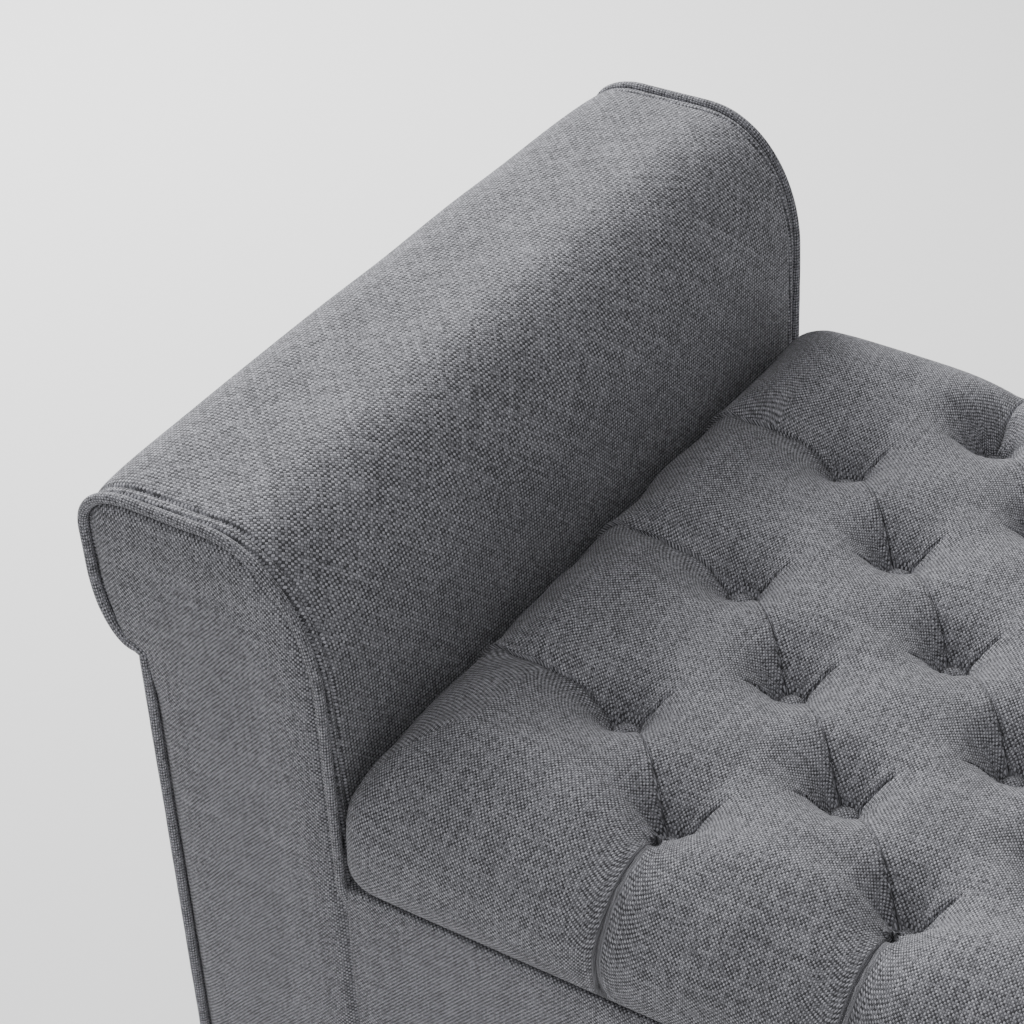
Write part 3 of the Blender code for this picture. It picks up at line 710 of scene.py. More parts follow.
def pleat_depths(rings):
    """Depth of the pleats below the lid's edge, ring by ring, at the front, back and sides."""
    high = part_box("lid_cushion")[1]
    first_y, first_x = LAST_ROW * STEP_Y, LAST_COLUMN * STEP_X
    crest = bpy.context.scene.bench_lid.pleat_crest
    runs = np.linspace(0.0, 0.0285, 12)
    start = np.stack([first_y + runs, climbing(runs, FRONT_PLEAT[0, 1])], 1)
    front = np.concatenate([start, FRONT_PLEAT])
    back = front.copy()
    back[:, 0] = first_y + (back[:, 0] - first_y) * (high.y - first_y) / (0.2585 - first_y)
    runs = np.linspace(0.0, 0.080, 24)
    start = np.stack([first_x + runs, climbing(runs, crest)], 1)
    side = np.concatenate([start, SIDE_PLEAT])
    depths = []
    for line, profile in ((front, rings["front"]), (back, rings["back"]), (side, rings["side"])):
        tangent = np.gradient(profile, axis=0)
        normal = np.stack([-tangent[:, 1], tangent[:, 0]], 1)
        normal /= np.linalg.norm(normal, axis=1)[:, None]
        depths.append(depth_to(line + np.array([0.0, BUTTON_TOP]), profile, normal))
    return depths


def blurred(field, passes):
    for _ in range(passes):
        padded = np.pad(field, 1, mode="edge")
        field = (padded[:-2, 1:-1] + 2.0 * field + padded[2:, 1:-1]) / 4.0
        padded = np.pad(field, 1, mode="edge")
        field = (padded[1:-1, :-2] + 2.0 * field + padded[1:-1, 2:]) / 4.0
    return field


def button_places():
    places = []
    for row in range(-LAST_ROW, LAST_ROW + 1):
        for column in range(-LAST_COLUMN, LAST_COLUMN + 1):
            if (column + row) % 2 == 0:
                places.append((column * STEP_X, row * STEP_Y))
    return np.array(places)


def crease_ledge(i, j, from_fold, strength, distance, edge, ring_index, tight):
    """Height by which one lip of each crisp crease stands over the other, for every point."""
    lid = bpy.context.scene.bench_lid
    dx, dy = STEP_X / CELLS, STEP_Y / CELLS
    field = i.size

    def step(apart):
        tall = np.where(apart > 0.0, -lid.overlap, 0.55 * lid.overlap)
        return np.where(apart == 0.0, 0.0, tall * np.exp(-np.abs(apart) / LIP_WIDTH))

    from_row = (2 * CELLS * (j % (2 * CELLS) > CELLS) - j % (2 * CELLS)) * dy
    from_column = -(i % (2 * CELLS) - CELLS) * dx
    past_side = (np.abs(i) >= LAST_COLUMN * CELLS) & (np.abs(j) < (LAST_ROW - 1) * CELLS + CELLS // 2)
    past_end = np.abs(j) >= LAST_ROW * CELLS
    ledge = step(from_fold) * strength
    ledge = np.where(past_side, step(from_row), ledge)
    ledge = np.where(past_end & (np.abs(i) < LAST_COLUMN * CELLS), step(from_column), ledge)
    full = np.zeros(len(distance))
    full[:field] = ledge.ravel()
    rim = ledge[edge[:, 0], edge[:, 1]]
    for k in range(1, tight):
        full[ring_index[k]] = rim * (1.0 - smoothstep(k, 0.5 * tight, tight))
    return full * smoothstep(distance, 0.008, 0.018)


def point_neighbours(number, ring_index, edge, count):
    """Four neighbours of each point: by row and column on the flat, by place and depth below it."""
    rows, columns = number.shape
    padded = np.pad(number, 1, mode="edge")
    near = np.zeros((count, 4), int)
    shifts = (padded[:-2, 1:-1], padded[2:, 1:-1], padded[1:-1, :-2], padded[1:-1, 2:])
    for which, shifted in enumerate(shifts):
        near[: number.size, which] = shifted.ravel()
    inside = number[np.clip(edge[:, 0], 1, rows - 2), np.clip(edge[:, 1], 1, columns - 2)]
    last = len(ring_index) - 1
    for k, mine in enumerate(ring_index):
        near[mine, 0] = np.roll(mine, 1)
        near[mine, 1] = np.roll(mine, -1)
        near[mine, 2] = ring_index[k - 1] if k else inside
        near[mine, 3] = ring_index[min(k + 1, last)]
    return near


def untufted_normals(rings, ring_index, field, count):
    """Outward normals of the lid before it is tufted."""
    normal = np.zeros((count, 3))
    normal[:field, 2] = 1.0
    last = len(rings) - 1
    for k in range(1, len(rings)):
        down = rings[min(k + 1, last)] - rings[k - 1]
        along = np.roll(rings[k], -1, axis=0) - np.roll(rings[k], 1, axis=0)
        cross = np.cross(along, down)
        cross /= np.maximum(np.linalg.norm(cross, axis=1), 1e-12)[:, None]
        normal[ring_index[k]] = -cross
    if normal[ring_index[FACE_RING][SIDE_CELLS], 1] > 0:
        normal[field:] *= -1.0
    return normal


def relaxed(settled, near, fixed, share_of, push, turn):
    """Red and black points, by turns, go to their neighbours' mean less the padding's push."""
    halves = [np.flatnonzero(~fixed & (turn == colour_of)) for colour_of in (0, 1)]
    for _ in range(ROUNDS):
        for half in halves:
            mean = settled[near[half]].sum(1) * share_of[half] - push[half]
            settled[half] += OVER_RELAXED * (mean - settled[half])
    return settled


def close_folds(grid, folds, clear):
    """The two lips of each fold close over the fabric tucked between them."""
    dx, dy = STEP_X / CELLS, STEP_Y / CELLS
    diagonal = math.hypot(dx, dy)
    gauge = dx * dy / diagonal
    for fold, strength_of, sign in folds:
        across = np.array([dy, sign * dx, 0.0]) / diagonal
        for step, kept in FOLD_LIPS:
            for side in (-1, 1):
                lips = (fold == side * step) & clear
                move = -side * step * gauge * (1.0 - kept) * strength_of
                grid[lips] += (move[..., None] * across)[lips]
        bottom = (fold == 0) & clear
        back = across if across[1] > 0 else -across
        grid[bottom] += (TUCK_SHIFT * strength_of[..., None] * back)[bottom]
        crease = bpy.context.scene.bench_lid.crease
        grid[bottom] -= (crease * strength_of[..., None] * np.array([0.0, 0.0, 1.0]))[bottom]


def close_pleats(grid, row_pleat, column_pleat, open_field):
    """The lips of the pleats close in the same way on the flat of the lid."""
    pleats = (
        (row_pleat, 0, STEP_Y / CELLS, 1.0, np.array([0.0, 1.0, 0.0])),
        (column_pleat, 1, STEP_X / CELLS, -1.0, np.array([-1.0, 0.0, 0.0])),
    )
    for pleat, axis, spacing, sign, pull in pleats:
        for step, kept in PLEAT_LIPS:
            for side in (-1, 1):
                lips = np.roll(pleat, side * step, axis=axis) & open_field
                grid[lips] += -side * sign * step * spacing * (1.0 - kept) * pull
        bottom = pleat & open_field
        grid[bottom] += TUCK_SHIFT * pull - np.array([0.0, 0.0, bpy.context.scene.bench_lid.crease])


def close_edge_pleats(place, rings, ring_index, pleats, normal, tight):
    """The lips of the pleats close down the lid's edge, less and less towards the board."""
    around = ring_index.shape[1]
    fade = 1.0 - smoothstep(np.arange(len(rings)), tight - 6, tight + 1)
    crease = bpy.context.scene.bench_lid.crease
    for p in pleats:
        for k in range(1, tight + 1):
            mine = ring_index[k]
            centre = place[mine[p]].copy()
            tangent = rings[k][(p + 1) % around] - rings[k][(p - 1) % around]
            tangent /= np.linalg.norm(tangent)
            for step, kept in PLEAT_LIPS:
                for side in (-1, 1):
                    spot = mine[(p + side * step) % around]
                    apart = float((place[spot] - centre) @ tangent)
                    place[spot] -= tangent * apart * (1.0 - kept) * fade[k]
            sideways = tangent if tangent[1] > 0.5 or tangent[0] < -0.5 else -tangent
            place[mine[p]] += (TUCK_SHIFT * sideways - crease * normal[mine[p]]) * fade[k]


def make_lid_cover():
    """The tufted cover: buttons, folds and pleats hold it down and the padding swells between."""
    lid = bpy.context.scene.bench_lid
    dx, dy = STEP_X / CELLS, STEP_Y / CELLS
    rows, columns = 2 * END_CELLS + 1, 2 * SIDE_CELLS + 1
    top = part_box("lid_cushion")[1].z
    i = np.arange(-SIDE_CELLS, SIDE_CELLS + 1)[None, :] + np.zeros((rows, 1), int)
    j = np.arange(-END_CELLS, END_CELLS + 1)[:, None] + np.zeros((1, columns), int)
    edge = perimeter()
    around = len(edge)
    rings = ring_points(edge, lid.corner)
    depth_count = len(rings)
    y0 = END_CELLS * dy
    swell = (1.0 - np.abs(i / SIDE_CELLS) ** 6) * (1.0 - np.abs(j / END_CELLS) ** 6)
    flat = np.stack([i * dx, j * dy, top + lid.rise * swell], -1).reshape(-1, 3)
    base = np.concatenate([flat, rings[1:].reshape(-1, 3)])
    count = len(base)
    field = rows * columns

    number = np.arange(field).reshape(rows, columns)
    rim = number[edge[:, 0], edge[:, 1]]
    below = field + np.arange((depth_count - 1) * around).reshape(-1, around)
    ring_index = np.concatenate([rim[None], below])
    near = point_neighbours(number, ring_index, edge, count)
    normal = untufted_normals(rings, ring_index, field, count)

    # flat, unrolled places of every point
    spread = np.zeros((count, 2))
    spread[:field] = flat[:, :2]
    fall = np.concatenate([[0.0], np.cumsum(np.linalg.norm(np.diff(rings[:, SIDE_CELLS], axis=0), axis=1))])
    ex, ey = (edge[:, 1] - SIDE_CELLS) * dx, (edge[:, 0] - END_CELLS) * dy
    on_end = np.abs(np.abs(ey) - y0) < 1e-9
    for k in range(1, depth_count):
        spread[ring_index[k], 0] = np.where(on_end, ex, ex + np.sign(ex) * fall[k])
        spread[ring_index[k], 1] = np.where(on_end, ey + np.sign(ey) * fall[k], ey)

    # fold coordinates: a is nought on the folds that rise to the right, b on the others
    a = (i - j + CELLS) % (2 * CELLS) - CELLS
    b = (i + j + CELLS) % (2 * CELLS) - CELLS
    hull = (np.abs(i) <= LAST_COLUMN * CELLS) & (np.abs(j) <= LAST_ROW * CELLS)
    diagonal = math.hypot(dx, dy)
    gauge = dx * dy / diagonal
    run_a = np.abs(b) * diagonal / 2
    run_b = np.abs(a) * diagonal / 2

    height = np.full((rows, columns), np.nan)
    on_a = (a == 0) & hull
    on_b = (b == 0) & hull
    height[on_a] = climbing(run_a, lid.soft_crest, FOLD_CLIMB)[on_a]
    height[on_b] = climbing(run_b, lid.fold_crest, FOLD_CLIMB)[on_b]

    # pleats from the outer buttons: columns run to the front and back, rows to the arms
    column_pleat = ((i - CELLS) % (2 * CELLS) == 0) & (np.abs(i) < LAST_COLUMN * CELLS)
    column_pleat &= np.abs(j) >= LAST_ROW * CELLS
    row_pleat = (j % (2 * CELLS) == 0) & (np.abs(j) < LAST_ROW * CELLS)
    row_pleat &= np.abs(i) >= LAST_COLUMN * CELLS
    run_y = (np.abs(j) - LAST_ROW * CELLS) * dy
    run_x = (np.abs(i) - LAST_COLUMN * CELLS) * dx
    crest_x = climbing(run_x, lid.pleat_crest)
    height[row_pleat] = crest_x[row_pleat]
    height[column_pleat] = climbing(run_y, FRONT_PLEAT[0, 1])[column_pleat]

    level = np.full(count, np.nan)
    level[:field] = height.ravel()
    drop = np.where(np.isnan(level), 0.0, base[:, 2] - BUTTON_TOP - level)
    fixed = ~np.isnan(level)

    middles = {
        "front": (SIDE_CELLS, (-1.0, 1)),
        "back": (-SIDE_CELLS - 2 * END_CELLS, (1.0, 1)),
        "side": (2 * SIDE_CELLS + END_CELLS, (1.0, 0)),
    }
    profiles = {
        end: np.stack([sign * rings[:, place, axis], rings[:, place, 2]], 1)
        for end, (place, (sign, axis)) in middles.items()
    }
    front_depth, back_depth, side_depth = pleat_depths(profiles)
    pleat_at = []
    for p, (row, column) in enumerate(edge):
        if row in (0, rows - 1) and column_pleat[row, column]:
            pleat_at.append((p, front_depth if row == 0 else back_depth))
        elif column in (0, columns - 1) and row_pleat[row, column]:
            pleat_at.append((p, side_depth))
    for p, depths in pleat_at:
        for k in range(1, depth_count):
            drop[ring_index[k][p]] = depths[k]
            fixed[ring_index[k][p]] = True

    # pits under the buttons
    buttons = button_places()
    distance = np.full(count, 1.0)
    closest = np.zeros(count, int)
    for number_of, (bx, by) in enumerate(buttons):
        d = np.hypot(spread[:, 0] - bx, spread[:, 1] - by)
        nearer = d < distance
        distance[nearer] = d[nearer]
        closest[nearer] = number_of
    pit = np.interp(distance, PIT_RADII, PIT_LEVELS)
    in_pit = distance < PIT_RADII[-1]
    pit_drop = base[:, 2] - BUTTON_TOP - pit
    drop = np.where(in_pit, np.where(fixed, np.maximum(drop, pit_drop), pit_drop), drop)
    fixed |= in_pit

    # the lower edge is pulled tight over the board
    tight = max(k for k in range(depth_count) if profiles["front"][k, 1] > TIGHT_BELOW)
    for k in range(tight, depth_count):
        drop[ring_index[k]] = 0.0
        fixed[ring_index[k]] = True

    share_of = np.full(count, 0.25)
    share_of[field:] = 1.0 / (4.0 + (dx / lid.settle) ** 2)
    push = np.zeros(count)
    push[:field] = (lid.fullness * FULL_SWELL * dx * dx / 4.0 * hull).ravel()
    turn = np.zeros(count, int)
    turn[:field] = ((i + j) % 2).ravel()
    for k in range(depth_count):
        turn[ring_index[k]] = (np.arange(around) + k) % 2
    settled = relaxed(np.where(fixed, drop, FIRST_DROP), near, fixed, share_of, push, turn)

    # creases are crisp near the buttons and soft half-way
    soft = settled[:field].reshape(rows, columns)
    smooth = blurred(soft, 9)
    strength_a = 1.0 - smoothstep(run_a, 0.012, 0.030)
    strength_b = 1.0 - 0.45 * smoothstep(run_b, 0.022, 0.044)
    near_a = np.exp(-((np.abs(a) * gauge) / 0.0060) ** 2) * (1.0 - strength_a)
    near_b = np.exp(-((np.abs(b) * gauge) / 0.0060) ** 2) * (1.0 - strength_b)
    weight = np.where(hull, np.maximum(near_a, near_b), 0.0)
    soft = soft * (1.0 - weight) + smooth * weight
    settled[:field] = soft.ravel()

    # small gathers round each button and a little unevenness in the puffs
    offset = spread - buttons[closest]
    angle = np.arctan2(offset[:, 1], offset[:, 0])
    rng = np.random.default_rng(11)
    turns = rng.integers(11, 16, len(buttons))[closest]
    phase = rng.uniform(0.0, 2.0 * math.pi, len(buttons))[closest]
    swell = np.exp(-(((distance - 0.0135) / 0.0065) ** 2))
    rise = lid.gather * swell * (np.sin(turns * angle + phase) + 0.5 * np.sin((turns + 5) * angle - phase))
    free = smoothstep(distance, 0.009, 0.030)
    rise += 0.0009 * free * ripples(spread[:, 0], spread[:, 1], 5, 0.055)
    rise += crease_ledge(i, j, b * gauge * strength_b * hull, strength_b, distance, edge, ring_index, tight)
    rise[ring_index[tight:].ravel()] = 0.0
    place = base - normal * (settled - rise)[:, None]
    calm = settled.copy()
    calm[:field] = blurred(settled[:field].reshape(rows, columns), 14).ravel()
    sheet = base - normal * calm[:, None]

    grid = place[:field].reshape(rows, columns, 3).copy()
    open_field = distance[:field].reshape(rows, columns) > BUTTON_RADIUS
    close_folds(grid, ((a, strength_a, -1.0), (b, strength_b, 1.0)), open_field & hull)
    close_pleats(grid, row_pleat, column_pleat, open_field)
    place[:field] = grid.reshape(-1, 3)
    close_edge_pleats(place, rings, ring_index, [p for p, _ in pleat_at], normal, tight)

    groups = lid_cover_faces(sheet, ring_index, number, edge)
    bottom = ring_index[-1]
    groups.append((bottom[::-1][None], place[bottom[::-1]][:, :2][None]))
    cloth = woven_cloth("upholstery_cloth")
    piece = closed_piece("tufted_lid_cover", place, groups, cloth, "lid")
    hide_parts("lid_cushion")


def lid_cover_faces(place, ring_index, number, edge):
    """Faces with map places that follow the cloth of each puff from its own middle."""
    dx, dy = STEP_X / CELLS, STEP_Y / CELLS
    rows, columns = number.shape
    grid = place[number]
    along_x = np.zeros((rows, columns))
    along_x[:, 1:] = np.cumsum(np.linalg.norm(np.diff(grid, axis=1), axis=2), axis=1)
    along_y = np.zeros((rows, columns))
    along_y[1:] = np.cumsum(np.linalg.norm(np.diff(grid, axis=0), axis=2), axis=0)

    def cell(i, j, shift_a=0, shift_b=0):
        i = np.clip(i, -LAST_COLUMN * CELLS, LAST_COLUMN * CELLS - 1)
        j = np.clip(j, -LAST_ROW * CELLS, LAST_ROW * CELLS - 1)
        part_a = (i - j) // (2 * CELLS) + shift_a
        part_b = (i + j + 1) // (2 * CELLS) + shift_b
        return CELLS * (part_a + part_b + 1), CELLS * (part_b - part_a)

    def cloth_place(rc, cc, ic, jc):
        mid_column = np.clip(ic + SIDE_CELLS, 0, columns - 1)
        mid_row = np.clip(jc + END_CELLS, 0, rows - 1)
        u = ic * dx + along_x[rc, cc] - along_x[rc, mid_column]
        v = jc * dy + along_y[rc, cc] - along_y[mid_row, cc]
        return np.stack([u, v], -1)

    r, c = np.meshgrid(np.arange(rows - 1), np.arange(columns - 1), indexing="ij")
    r, c = r.ravel(), c.ravel()
    i, j = c - SIDE_CELLS, r - END_CELLS
    inside = (i >= -LAST_COLUMN * CELLS) & (i < LAST_COLUMN * CELLS)
    inside &= (j >= -LAST_ROW * CELLS) & (j < LAST_ROW * CELLS)
    rising = inside & ((i - j) % (2 * CELLS) == 0)
    falling = inside & ((i + j + 1) % (2 * CELLS) == 0) & ~rising
    plain = ~rising & ~falling
    groups = []

    def add(mask, corners, shift_a=0, shift_b=0):
        ic, jc = cell(i[mask], j[mask], shift_a, shift_b)
        faces, maps = [], []
        for down, right in corners:
            rc, cc = r[mask] + down, c[mask] + right
            faces.append(number[rc, cc])
            maps.append(cloth_place(rc, cc, ic, jc))
        groups.append((np.stack(faces, 1), np.stack(maps, 1)))

    add(plain, ((0, 0), (0, 1), (1, 1), (1, 0)))
    add(rising, ((0, 0), (0, 1), (1, 1)), 0, 0)
    add(rising, ((0, 0), (1, 1), (1, 0)), -1, 0)
    add(falling, ((0, 0), (0, 1), (1, 0)), 0, -1)
    add(falling, ((0, 1), (1, 1), (1, 0)), 0, 0)

    # skirts
    depth_count, around = ring_index.shape
    ring = place[ring_index]
    closed = np.concatenate([ring, ring[:, :1]], axis=1)
    travel = np.zeros((depth_count, around + 1))
    travel[:, 1:] = np.cumsum(np.linalg.norm(np.diff(closed, axis=1), axis=2), axis=1)
    fall = np.zeros((depth_count, around))
    fall[1:] = np.cumsum(np.linalg.norm(np.diff(ring, axis=0), axis=2), axis=0)
    p = np.arange(around)
    q = (p + 1) % around
    row_p, column_p = edge[:, 0], edge[:, 1]
    row_q, column_q = edge[q, 0], edge[q, 1]
    front = (row_p == 0) & (row_q == 0)
    back = (row_p == rows - 1) & (row_q == rows - 1)
    right = (column_p == columns - 1) & (column_q == columns - 1)
    ic, jc = cell(np.minimum(column_p, column_q) - SIDE_CELLS, np.minimum(row_p, row_q) - END_CELLS)
    middle_column = np.clip(ic + SIDE_CELLS, 0, columns - 1)
    middle_row = np.clip(jc + END_CELLS, 0, rows - 1)
    anchor = np.where(front, middle_column, 0)
    anchor = np.where(right, columns - 1 + middle_row, anchor)
    anchor = np.where(back, columns - 1 + rows - 1 + (columns - 1 - middle_column), anchor)
    left = ~(front | back | right)
    anchor = np.where(left, (2 * (columns - 1) + rows - 1 + (rows - 1 - middle_row)), anchor)
    faces, maps = [], []
    for k in range(depth_count - 1):
        quad = np.stack([ring_index[k, p], ring_index[k + 1, p], ring_index[k + 1, q], ring_index[k, q]], 1)
        spots = []
        for depth, spot, end in ((k, p, p), (k + 1, p, p), (k + 1, q, p + 1), (k, q, p + 1)):
            start = cloth_place(edge[spot, 0], edge[spot, 1], ic, jc)
            run = travel[depth, end] - travel[depth, anchor % around]
            run = np.where(anchor >= around, travel[depth, end] - travel[depth, around], run)
            drop = fall[depth, spot]
            u = np.where(front, ic * dx + run, np.where(back, ic * dx - run, 0.0))
            u = np.where(right, start[:, 0] + drop, np.where(left, start[:, 0] - drop, u))
            v = np.where(front, start[:, 1] - drop, np.where(back, start[:, 1] + drop, 0.0))
            v = np.where(right, jc * dy + run, np.where(left, jc * dy - run, v))
            spots.append(np.stack([u, v], -1))
        faces.append(quad)
        maps.append(np.stack(spots, 1))
    groups.append((np.concatenate(faces), np.concatenate(maps)))
    return groups


# ---------------------------------------------------------------- buttons and linings


def make_buttons():
    """Covered buttons, domed and a little tilted, on the twine that holds each row."""
    rng = np.random.default_rng(4)
    places = button_places()
    sides = 28
    turn = np.arange(sides) * 2.0 * math.pi / sides
    line = [(0.0000, 0.0000), (0.0022, -0.0001), (0.0042, -0.0006), (0.0058, -0.0015), (0.0070, -0.0027)]
    line += [(0.0077, -0.0041), (0.0079, -0.0054), (0.0074, -0.0066), (0.0050, -0.0072), (0.0012, -0.0073)]
    line += [(0.0010, -0.0300)]
    line = np.array(line)
    run = arc_lengths(line)
    cloth = woven_cloth("button_cloth", 0.95)
    for row in range(-LAST_ROW, LAST_ROW + 1):
        points, quads, maps, fans, fan_maps = [], [], [], [], []
        for x, y in places[np.abs(places[:, 1] - row * STEP_Y) < 1e-6]:
            lean = rng.uniform(-0.06, 0.06, 2)
            patch = rng.uniform(0.0, 1.0, 2)
            start = len(points)
            points.append((x, y, BUTTON_TOP))
            for radius, height in line[1:]:
                pucker = 0.00012 * np.sin(14 * turn) * smoothstep(radius, 0.003, 0.0075)
                px = (radius + pucker) * np.cos(turn)
                py = (radius + pucker) * np.sin(turn)
                pz = BUTTON_TOP + height + lean[0] * px + lean[1] * py
                points.extend(zip(x + px, y + py, pz))
            spokes = [np.array((math.cos(t), math.sin(t))) for t in turn]
            flat = np.array([patch] + [patch + r * spoke for r in run[1:] for spoke in spokes])
            following = (np.arange(sides) + 1) % sides
            fan = np.stack([np.zeros(sides, int), 1 + following, 1 + np.arange(sides)], 1)
            ring = grid_faces(len(line) - 1, sides, True, 1)
            fans.append(fan + start)
            fan_maps.append(flat[fan])
            quads.append(ring + start)
            maps.append(flat[ring])
            low = 1 + (len(line) - 2) * sides
            end = np.stack([np.full(sides, low), low + np.arange(sides), low + following], 1)[1:-1]
            fans.append(end + start)
            fan_maps.append(flat[end])
        groups = [(np.concatenate(quads), np.concatenate(maps))]
        groups.append((np.concatenate(fans), np.concatenate(fan_maps)))
        number = row + LAST_ROW + 1
        piece = closed_piece(f"covered_buttons_{number}", points, groups, cloth, "lid")
        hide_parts(f"button_row_{number}")


def stretched_sheet(name, low, high, thick, body, node):
    """A thin lining stapled flat: slightly slack between its staples, with a folded hem."""
    hem = 0.012
    xs = np.unique(np.concatenate([np.linspace(low[0], high[0], 90), [low[0] + hem, high[0] - hem]]))
    ys = np.unique(np.concatenate([np.linspace(low[1], high[1], 48), [low[1] + hem, high[1] - hem]]))
    x, y = np.meshgrid(xs, ys)
    from_x, from_y = edge_distances(x, y, low, high)
    inset = np.minimum(from_x, from_y)
    along = np.where(from_x < from_y, y, x)
    pucker = np.exp(-inset / 0.020) * 0.00022 * np.sin(along * 2.0 * math.pi / 0.045)
    step = np.where(inset <= hem + 1e-6, 0.0, 0.00022)
    bottom = low[2] + 0.0003 + step + pucker + 0.00012 * ripples(x, y, 8, 0.12)
    top = np.full(x.shape, low[2] + thick)
    under = np.stack([x, y, np.minimum(bottom, top - 0.0003)], -1).reshape(-1, 3)
    over = np.stack([x, y, top], -1).reshape(-1, 3)
    rows, columns = x.shape
    loop = border(rows, columns)
    points = np.concatenate([under, over])
    faces = grid_faces(rows, columns)
    wall = np.stack([loop, np.roll(loop, -1), np.roll(loop, -1) + len(under), loop + len(under)], 1)
    quads = np.concatenate([faces[:, ::-1], faces + len(under), wall])
    groups = [(quads, points[quads][..., :2])]
    piece = closed_piece(name, points, groups, lining_cloth("black_lining_cloth"), body)
    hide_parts(node)


def make_linings():
    low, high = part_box("lid_lining")
    thick = high.z - low.z - 0.0001
    stretched_sheet("lid_lining_sheet", low, high, thick, "lid", "lid_lining")
    low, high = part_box("dust_cover")
    stretched_sheet("dust_cover_sheet", low, high, high.z - low.z, "root", "dust_cover")


# ---------------------------------------------------------------- arms


def bow(part, start, end, steps):
    """Points on one rounded stretch of the arm's section, from one angle to another in degrees."""
    (centre, radii, power) = part
    angle = np.radians(np.linspace(start, end, steps))
    across = np.sign(np.cos(angle)) * np.abs(np.cos(angle)) ** (2.0 / power)
    up = np.sign(np.sin(angle)) * np.abs(np.sin(angle)) ** (2.0 / power)
    return np.stack([centre[0] + radii[0] * across, centre[1] + radii[1] * up], 1)


def arm_section(bottom, spacing):
    """The arm's section from the foot of its inner face over the roll to the crease."""
    line = np.concatenate([
        [(0.0, bottom)],
        bow(ROLL, 180.0, 90.0, 240),
        bow(SHOULDER, 90.0, 0.0, 160)[1:],
        bow(UNDERCUT, 0.0, -90.0, 120)[1:],
    ])
    whole = arc_lengths(line)[-1]
    return resampled(line, np.linspace(0.0, whole, round(whole / spacing) + 1))


def section_normals(line, closed=False):
    if closed:
        tangent = np.roll(line, -1, axis=0) - np.roll(line, 1, axis=0)
    else:
        tangent = np.gradient(line, axis=0)
    normal = np.stack([-tangent[:, 1], tangent[:, 0]], 1)
    return normal / np.maximum(np.linalg.norm(normal, axis=1), 1e-12)[:, None]


def roll_share(line):
    """Nought on the inner face, rising to one over the roll."""
    return smoothstep(arc_lengths(line), 0.385, 0.500)


def arm_stations():
    """Places along the arm, close together at its seams."""
    half = [0.0, 0.015, 0.03, 0.045, 0.06, 0.075, 0.09, 0.105, 0.12, 0.135, 0.15, 0.164, 0.177, 0.189]
    half += [0.199, 0.208, 0.2155, 0.2215, 0.226, 0.2295, 0.232, 0.2340, 0.2354, 0.2364, 0.2371, 0.2377]
    half += [0.2383, 0.2390, 0.2399, 0.2410, 0.2421, 0.2430, 0.2437, 0.2442, 0.2447, 0.2452, 0.2455]
    half = np.array(half)
    return np.concatenate([-half[:0:-1], half])


def make_arm_cover(side, name):
    arm = bpy.context.scene.bench_arm
    section = arm_section(BASE_BOTTOM + 0.0153, 0.0033)
    normal = section_normals(section)
    ys = arm_stations()
    along = arc_lengths(section)
    y, s = np.meshgrid(ys, along, indexing="ij")
    height = section[:, 1][None, :]
    past = ARM_END - np.abs(y)
    seam_line = arm.seam_inset
    reach = np.clip(1.0 - (np.abs(y) / (ARM_END - seam_line)) ** 6, 0.0, 1.0) ** 0.6
    roll = roll_share(section)[None, :]
    to_crease = smoothstep(along[-1] - along, 0.0, 0.045)[None, :]
    crown = arm.inner_crown + (arm.crown - arm.inner_crown) * roll
    band = 0.0014 - arm.sink * roll
    lift = band + (crown - band) * reach
    lift = lift + 0.0005 * ripples(y, s, 20 + side, 0.10) * np.minimum(reach, to_crease)
    seam_fade = smoothstep(height, 0.370, 0.430)
    lift = lift - arm.seam_depth * np.exp(-(((past - seam_line) / 0.0010) ** 2)) * (0.25 + 0.75 * seam_fade)
    lift = lift - 0.0030 * (1.0 - smoothstep(past, -0.0006, 0.0030))
    outer_u = section[:, 0][None, :] + lift * normal[:, 0][None, :]
    outer_z = section[:, 1][None, :] + lift * normal[:, 1][None, :]
    inner_u = np.broadcast_to((section[:, 0] - COVER_THICK * normal[:, 0])[None, :], outer_u.shape)
    inner_z = np.broadcast_to((section[:, 1] - COVER_THICK * normal[:, 1])[None, :], outer_z.shape)
    outer = np.stack([side * (ARM_INNER + outer_u), y, outer_z], -1).reshape(-1, 3)
    inner = np.stack([side * (ARM_INNER + inner_u), y, inner_z], -1).reshape(-1, 3)
    points = np.concatenate([outer, inner])
    rows, columns = y.shape
    loop = border(rows, columns)
    size = rows * columns
    faces = grid_faces(rows, columns)
    wall = np.stack([loop, np.roll(loop, -1), np.roll(loop, -1) + size, loop + size], 1)
    quads = np.concatenate([faces, faces[:, ::-1] + size, wall[:, ::-1]])
    cloth_map = COVER_BIAS * np.stack([(y + s).ravel(), (s - y).ravel()], 1)
    cloth_map = np.concatenate([cloth_map, cloth_map])
    cloth = woven_cloth("upholstery_cloth")
    piece = closed_piece(f"{name}_arm_padded_cover", points, mapped(cloth_map, quads), cloth, "root")
    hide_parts(f"{name}_arm_cover")


